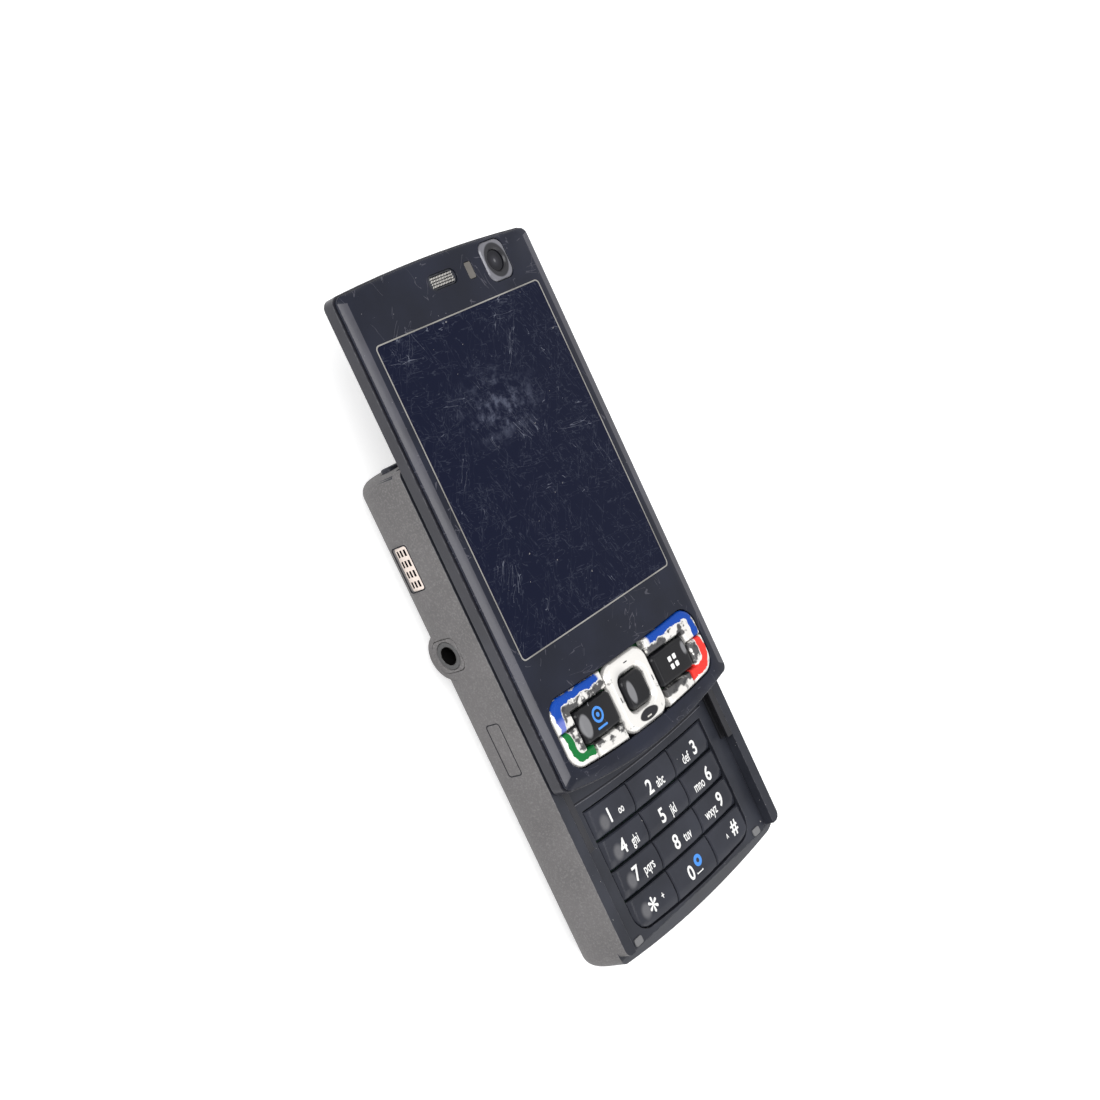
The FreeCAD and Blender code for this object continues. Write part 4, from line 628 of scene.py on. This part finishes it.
def bar_grid_tree():
    """Geometry nodes: small turned bars on a grid of points, each a little uneven in length."""
    tree = bpy.data.node_groups.new("bar_grid", "GeometryNodeTree")
    for socket, kind in (("Columns", "Int"), ("Rows", "Int"), ("Width", "Float"), ("Height", "Float"),
                         ("Bar", "Vector"), ("Turn", "Float"), ("Seed", "Int"), ("Material", "Material")):
        tree.interface.new_socket(name=socket, in_out="INPUT", socket_type="NodeSocket" + kind)
    tree.interface.new_socket(name="Geometry", in_out="OUTPUT", socket_type="NodeSocketGeometry")
    enter = tree.nodes.new("NodeGroupInput").outputs
    grid = add(tree, "GeometryNodeMeshGrid", {"Size X": enter["Width"], "Size Y": enter["Height"],
                                              "Vertices X": enter["Columns"], "Vertices Y": enter["Rows"]})
    bar = add(tree, "GeometryNodeMeshCube", {"Size": enter["Bar"]})
    turn = add(tree, "ShaderNodeCombineXYZ", {"Z": enter["Turn"]})
    uneven = add(tree, "FunctionNodeRandomValue", {2: 0.75, 3: 1.1, "Seed": enter["Seed"]},
                 data_type="FLOAT")
    stretch = add(tree, "ShaderNodeCombineXYZ", {"X": uneven.outputs[1], "Y": 1.0, "Z": 1.0})
    copies = {"Points": grid.outputs[0], "Instance": bar.outputs[0], "Rotation": turn.outputs[0],
              "Scale": stretch.outputs[0]}
    placed = add(tree, "GeometryNodeInstanceOnPoints", copies)
    real = add(tree, "GeometryNodeRealizeInstances", {"Geometry": placed.outputs[0]})
    painted = add(tree, "GeometryNodeSetMaterial", {"Geometry": real.outputs[0],
                                                    "Material": enter["Material"]})
    leave = tree.nodes.new("NodeGroupOutput")
    tree.links.new(painted.outputs[0], leave.inputs["Geometry"])
    return tree


def bar_grid(name, tree, place, body, **settings):
    """Runs the bar grid on an empty mesh and keeps the result as a plain piece."""
    holder = bpy.data.objects.new(name, bpy.data.meshes.new(name))
    bpy.context.scene.collection.objects.link(holder)
    modifier = holder.modifiers.new("grid", "NODES")
    modifier.node_group = tree
    for item in tree.interface.items_tree:
        if item.in_out == "INPUT":
            modifier[item.identifier] = settings[item.name.lower()]
    piece_from(settled(holder, Matrix.Translation(place)), name, settings["material"], body)


def round_box(left, right, low, high, corner, steps=6):
    """Points of a rectangle with rounded corners."""
    points = []
    for cx, cy, start in ((right - corner, high - corner, 0), (left + corner, high - corner, 90),
                          (left + corner, low + corner, 180), (right - corner, low + corner, 270)):
        for i in range(steps + 1):
            angle = math.radians(start + 90 * i / steps)
            points.append((cx + corner * math.cos(angle), cy + corner * math.sin(angle)))
    return points


def small_box(x, y, wide, tall, corner):
    """Points of a small rounded rectangle round its middle."""
    return round_box(x - wide / 2, x + wide / 2, y - tall / 2, y + tall / 2, corner, 3)


def circle(x, y, radius, steps):
    turns = [2 * math.pi * i / steps for i in range(steps)]
    return [(x + radius * math.cos(turn), y + radius * math.sin(turn)) for turn in turns]


# Pieces that keep their CAD form

DRESSED = {
    SOFT_GREY: ["battery_cover", "volume_key", "review_key", "capture_key", "jack_bezel", "ir_window"],
    DECK_BLACK: ["keypad_deck", "power_key", "release_button", "camera_module", "speakers", "battery",
                 "display_module", "earpiece"],
    TRAY_BLACK: ["slide_back"],
    STEEL: ["deck_screws", "slide_runner", "nav_pivot", "end_sockets"],
    JACK_GREY: ["av_jack"],
    DARK_STEEL: ["slide_rails"],
    BEZEL_GREY_AND_HIGHLIGHT: ["camera_ring", "front_camera_bezel"],
    BOARD: ["main_board", "keypad_board", "function_board"],
    RUBBER: ["deck_bumpers"],
    SENSOR: ["light_sensor"],
    LENS_AND_SHADE_BLACK: ["camera_lenses"],
    FRONT_LENS: ["front_camera"],
    GLASS: ["display_window"],
    NUMBER_BLACK: ["rewind_key", "play_key", "stop_key", "forward_key"],
}
for material, nodes in DRESSED.items():
    for node in nodes:
        dress(node, material)


END_ZONE, WALL_MIDDLE, DECK_LEVEL = 48 * MM, 26 * MM, 12.5 * MM      # along y, x and z
BEVEL_FOOT = 20 * MM        # along x


def faces_inward(polygon):
    """Whether a face of the base belongs to its dark inner side: wall tops, inner walls and chin."""
    middle, normal = polygon.center, polygon.normal
    on_end = abs(normal.y) > 0.8 and abs(middle.y) > END_ZONE
    return middle.z > DECK_LEVEL and (normal.z > 0.35 or abs(middle.x) < WALL_MIDDLE) and not on_end


def on_side_bevel(polygon):
    """Whether a face belongs to the long bevels of the front cover, which catch the light and are painted
    lighter as a highlight.
    """
    normal = polygon.normal
    return abs(normal.x) > 0.2 and abs(polygon.center.x) > BEVEL_FOOT and normal.z > 0.15


def in_slot(polygon):
    """Whether a face of a grille looks into a slot or along the wall; these faces are painted black as the
    shade inside the slots.
    """
    return abs(polygon.normal.x) < 0.7


dress("base_housing", SOFT_GREY, DECK_BLACK, faces_inward)
dress("slide_cover", FRONT_BLACK, COVER_BEVEL_HIGHLIGHT, on_side_bevel)
dress("speaker_grilles", GRILLE, LENS_AND_SHADE_BLACK, in_slot)

# Front keys

FRONT_CAPS = {"soft_key_left": WORN_BLUE_PLATE, "soft_key_right": BLUE_PLATE, "call_key": GREEN_PLATE,
              "end_key": RED_PLATE, "clear_key": CHROME, "edit_key": CHROME, "multimedia_key": PANEL_BLACK,
              "menu_key": PANEL_BLACK, "select_key": PANEL_BLACK, "nav_ring": RING_CHROME}
for node, material in FRONT_CAPS.items():
    front_cap(node, material)

# Number keys and their legends in millimetres: digit and its place, letters and their place

LEGENDS = {
    "key_1": ("1", -13.9, -23.9, "oo", -10.6, -24.2), "key_2": ("2", -1.4, -24.6, "abc", 1.9, -24.9),
    "key_3": ("3", 14.2, -24.1, "def", 10.9, -24.7), "key_4": ("4", -14.0, -30.1, "ghi", -10.6, -30.5),
    "key_5": ("5", -1.5, -30.5, "jkl", 1.9, -30.8), "key_6": ("6", 14.7, -30.0, "mno", 11.2, -30.6),
    "key_7": ("7", -14.0, -35.7, "pqrs", -10.3, -36.2), "key_8": ("8", -1.1, -36.3, "tuv", 2.4, -36.6),
    "key_9": ("9", 14.7, -35.6, "wxyz", 11.0, -36.3), "key_star": ("*", -13.5, -43.5, "+", -10.3, -42.3),
    "key_0": ("0", -1.0, -42.9, "", 0, 0), "key_hash": ("#", 15.1, -41.7, "^", 12.3, -42.6),
}
DIGIT, STAR = 2.7 * MM, 4.4 * MM
LETTERS, MARKS = 1.9 * MM, 1.5 * MM
DIGIT_SQUEEZE, LETTER_SQUEEZE = 0.92, 0.68
DIGIT_BOLD, LETTER_BOLD = 0.075 * MM, 0.035 * MM
print_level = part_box("key_5")[1][2] + PRINT_LIFT
mark_level = print_level + PRINT_THICK / 2
for number, (node, (digit, x, y, letters, letters_x, letters_y)) in enumerate(LEGENDS.items()):
    number_cap(node, number % 3)
    write(node + "_digit", digit, STAR if digit == "*" else DIGIT, DIGIT_SQUEEZE, x * MM, y * MM,
          print_level, node, DIGIT_BOLD)
    if letters:
        write(node + "_letters", letters, MARKS if letters in "oo^+" else LETTERS, LETTER_SQUEEZE,
              letters_x * MM, letters_y * MM, print_level, node, LETTER_BOLD)
SPACE_BAR = ((0.4, -43.9), (2.4, -43.9), (2.4, -43.6), (2.15, -43.6), (2.15, -43.7), (0.65, -43.7),
             (0.65, -43.6), (0.4, -43.6))
stamp("key_0_space", [(x * MM, y * MM) for x, y in SPACE_BAR], mark_level, WHITE_MARK, "key_0")
zero_mark = (2.0 * MM, -41.7 * MM)
stamp("key_0_ring", circle(*zero_mark, 1.15 * MM, 32), mark_level, BLUE_MARK, "key_0",
      [circle(*zero_mark, 0.45 * MM, 20)])

# Front details

front_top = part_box("slide_cover")[1][2]
low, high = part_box("display_window")
OUT, IN = 0.16 * MM, 0.08 * MM      # the outline's reach beyond and within the window's edge
plate("window_outline", round_box(low[0] - OUT, high[0] + OUT, low[1] - OUT, high[1] + OUT, 0.95 * MM),
      front_top - 0.3 * MM, front_top + 0.03 * MM, WINDOW_RIM, "slide",
      [round_box(low[0] + IN, high[0] - IN, low[1] + IN, high[1] - IN, 0.75 * MM)])

icon_x, icon_y = middle_of("menu_key")[:2]
icon_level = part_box("menu_key")[1][2] - PRINT_LIFT
MARK_PITCH = 1.5 * MM
for number in range(4):
    dx, dy = (number % 2 - 0.5) * MARK_PITCH, (number // 2 - 0.5) * MARK_PITCH
    stamp("menu_mark_%d" % number, small_box(icon_x + dx, icon_y + dy, MM, MM, 0.2 * MM), icon_level,
          WHITE_MARK, "menu_key")
media_at = (-icon_x, icon_y + 0.5 * MM)
stamp("media_ring", circle(*media_at, 1.5 * MM, 32), icon_level, BLUE_MARK, "multimedia_key",
      [circle(*media_at, 1.0 * MM, 24)])
stamp("media_dot", circle(*media_at, 0.45 * MM, 20), icon_level, BLUE_MARK, "multimedia_key")
stamp("media_bar", small_box(-icon_x, icon_y - 1.8 * MM, 2.8 * MM, 0.4 * MM, 0.15 * MM), icon_level,
      BLUE_MARK, "multimedia_key")

ear_x, ear_y = middle_of("earpiece")[:2]
bar_grid("earpiece_mesh", bar_grid_tree(), (ear_x, ear_y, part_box("earpiece")[1][2] + 0.01 * MM), "slide",
         columns=14, rows=4, width=5.6 * MM, height=1.5 * MM, bar=(0.5 * MM, 0.17 * MM, 0.04 * MM),
         turn=0.75, seed=4, material=MESH_PALE)

deck_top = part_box("keypad_deck")[1][2]
GROOVE_BOW = 1 / 500        # per millimetre
# The deck's groove as flat plates: a dark line as painted shade and a grey line beside it as a painted
# highlight on its lip.
for number, (y, wide, material) in enumerate(((-18.9, 0.22, LENS_AND_SHADE_BLACK), (-19.25, 0.12, BEZEL_GREY_AND_HIGHLIGHT))):
    across = [-21 + 42 * step / 24 for step in range(25)]
    line = [(x * MM, (y + x * x * GROOVE_BOW) * MM) for x in across]
    back = [(x * MM, (y - wide + x * x * GROOVE_BOW) * MM) for x in reversed(across)]
    plate("deck_groove_%d" % number, line + back, deck_top - 0.02 * MM, deck_top + 0.01 * MM, material,
          "base")

TICKS = ((0, ring_high[1] - 1.5 * MM, 1.1, 0.22, DECK_BLACK),
         (0, ring_low[1] + 1.5 * MM, 1.3, 0.3, MESH_PALE),
         (ring_low[0] + 1.45 * MM, ring_y, 0.22, 1.1, DECK_BLACK),
         (ring_high[0] - 1.45 * MM, ring_y, 0.22, 1.1, DECK_BLACK))
for number, (x, y, wide, tall, material) in enumerate(TICKS):
    stamp("ring_tick_%d" % number, small_box(x, y, wide * MM, tall * MM, 0.1 * MM),
          ring_high[2] - 0.01 * MM, material, "nav_ring")

OUTLINE = 0.24 * MM
PROUD, SUNK = 0.012 * MM, 0.1 * MM      # how far an outline stands over a wall and lies in it


def wall_outline(name, node, corner, start, end):
    """A thin dark line round something in a side wall: painted shade of the gap round it."""
    low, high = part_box(node)
    outer = round_box(low[1] - OUTLINE, high[1] + OUTLINE, low[2] - OUTLINE, high[2] + OUTLINE,
                      corner + 0.2 * MM)
    inner = round_box(low[1], high[1], low[2], high[2], corner)
    plate(name, outer, start, end, LENS_AND_SHADE_BLACK, "base", [inner], ON_LEFT_WALL)


window_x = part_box("ir_window")[0][0]
wall_outline("ir_window_outline", "ir_window", 0.5 * MM, window_x - PROUD, window_x + SUNK)
left, right = (corner[0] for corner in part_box("speaker_grilles"))
wall_outline("grille_outline_left", "speaker_grilles", 0.4 * MM, left - PROUD, left + SUNK)
wall_outline("grille_outline_right", "speaker_grilles", 0.4 * MM, right - SUNK, right + PROUD)

# Stage, light and camera

FLOOR_TONE, FLOOR_GLOW = 0.82, 0.5
LEFT_LIGHT, RIGHT_LIGHT = 0.78, 0.14


def seen_rays(tree):
    """1 for what the camera sees, straight, mirrored or through glass."""
    rays = add(tree, "ShaderNodeLightPath").outputs
    mirrored = maths(tree, "MAXIMUM", rays["Is Glossy Ray"], rays["Is Transmission Ray"])
    return maths(tree, "MAXIMUM", rays["Is Camera Ray"], mirrored)


def make_stage():
    """Pale floor that reads white to the camera and in reflections, and keeps a soft shadow."""
    bpy.ops.mesh.primitive_plane_add(size=6.0, location=(0, 0, -0.2 * MM))
    floor = bpy.context.object
    floor.name = "floor"
    material = bpy.data.materials.new("pale_floor")
    material.use_nodes = True
    tree = material.node_tree
    tree.nodes.remove(tree.nodes["Principled BSDF"])
    diffuse = add(tree, "ShaderNodeBsdfDiffuse", {"Color": (FLOOR_TONE, FLOOR_TONE, FLOOR_TONE, 1.0)})
    strength = times(tree, seen_rays(tree), FLOOR_GLOW)
    glow = add(tree, "ShaderNodeEmission", {"Color": (1, 1, 1, 1), "Strength": strength})
    both = add(tree, "ShaderNodeAddShader", {0: diffuse.outputs[0], 1: glow.outputs[0]})
    tree.links.new(both.outputs[0], tree.nodes["Material Output"].inputs["Surface"])
    floor.data.materials.append(material)


def make_world():
    """White surround for the camera; the light it gives is bright from the left and dim from the right."""
    world = bpy.data.worlds.new("studio")
    world.use_nodes = True
    bpy.context.scene.world = world
    tree = world.node_tree
    direction = add(tree, "ShaderNodeTexCoord").outputs["Generated"]
    cut = add(tree, "ShaderNodeSeparateXYZ", {0: direction})
    light = ramp(tree, cut.outputs[0], 0.4, 0.6, LEFT_LIGHT, RIGHT_LIGHT)
    strength = add(tree, "ShaderNodeMix", {0: seen_rays(tree), 2: light, 3: 1.0}, data_type="FLOAT")
    back = tree.nodes["Background"]
    back.inputs["Color"].default_value = (1.0, 1.0, 1.0, 1.0)
    tree.links.new(strength.outputs[0], back.inputs["Strength"])


def make_lamp(name, place, aim, width, length, power):
    """A soft box that faces its aim, with its length along the phone."""
    data = bpy.data.lights.new(name, "AREA")
    data.shape = "RECTANGLE"
    data.size = width
    data.size_y = length
    data.energy = power
    lamp = bpy.data.objects.new(name, data)
    bpy.context.scene.collection.objects.link(lamp)
    back = (Vector(place) - Vector(aim)).normalized()
    across = Vector((0, 1, 0)).cross(back).normalized()
    turn = Matrix((across, back.cross(across), back)).transposed()
    lamp.matrix_world = Matrix.Translation(place) @ turn.to_4x4()


def make_camera():
    """The photographed view: the camera's place and axes in the phone's own frame."""
    right = Vector((0.5923, -0.4207, 0.6872))
    up = Vector((0.3617, 0.9009, 0.2398))
    back = right.cross(up)
    turn = Matrix((right, up, back)).transposed()
    data = bpy.data.cameras.new("camera")
    data.sensor_width = 36.0
    focal_pixels, frame_pixels = 1774.19, 1100
    data.lens = focal_pixels / frame_pixels * data.sensor_width
    data.clip_start = 0.01
    camera = bpy.data.objects.new("camera", data)
    camera.matrix_world = Matrix.Translation(Vector((-232.68, 57.65, 237.80)) * MM) @ turn.to_4x4()
    bpy.context.scene.collection.objects.link(camera)
    bpy.context.scene.camera = camera


make_stage()
make_world()
make_lamp("key_lamp", (-0.5, 0.25, 0.55), (0, 0, 0.01), 0.5, 0.5, 4.0)
make_lamp("fill_lamp", (0.2, -0.6, 0.5), (0, 0, 0.01), 0.6, 0.6, 1.6)
make_lamp("strip_lamp", (0.176, -0.02, 0.575), (-0.025, 0.03, 0.02), 0.07, 0.5, 0.5)
make_camera()
bpy.context.scene.view_settings.view_transform = "Standard"
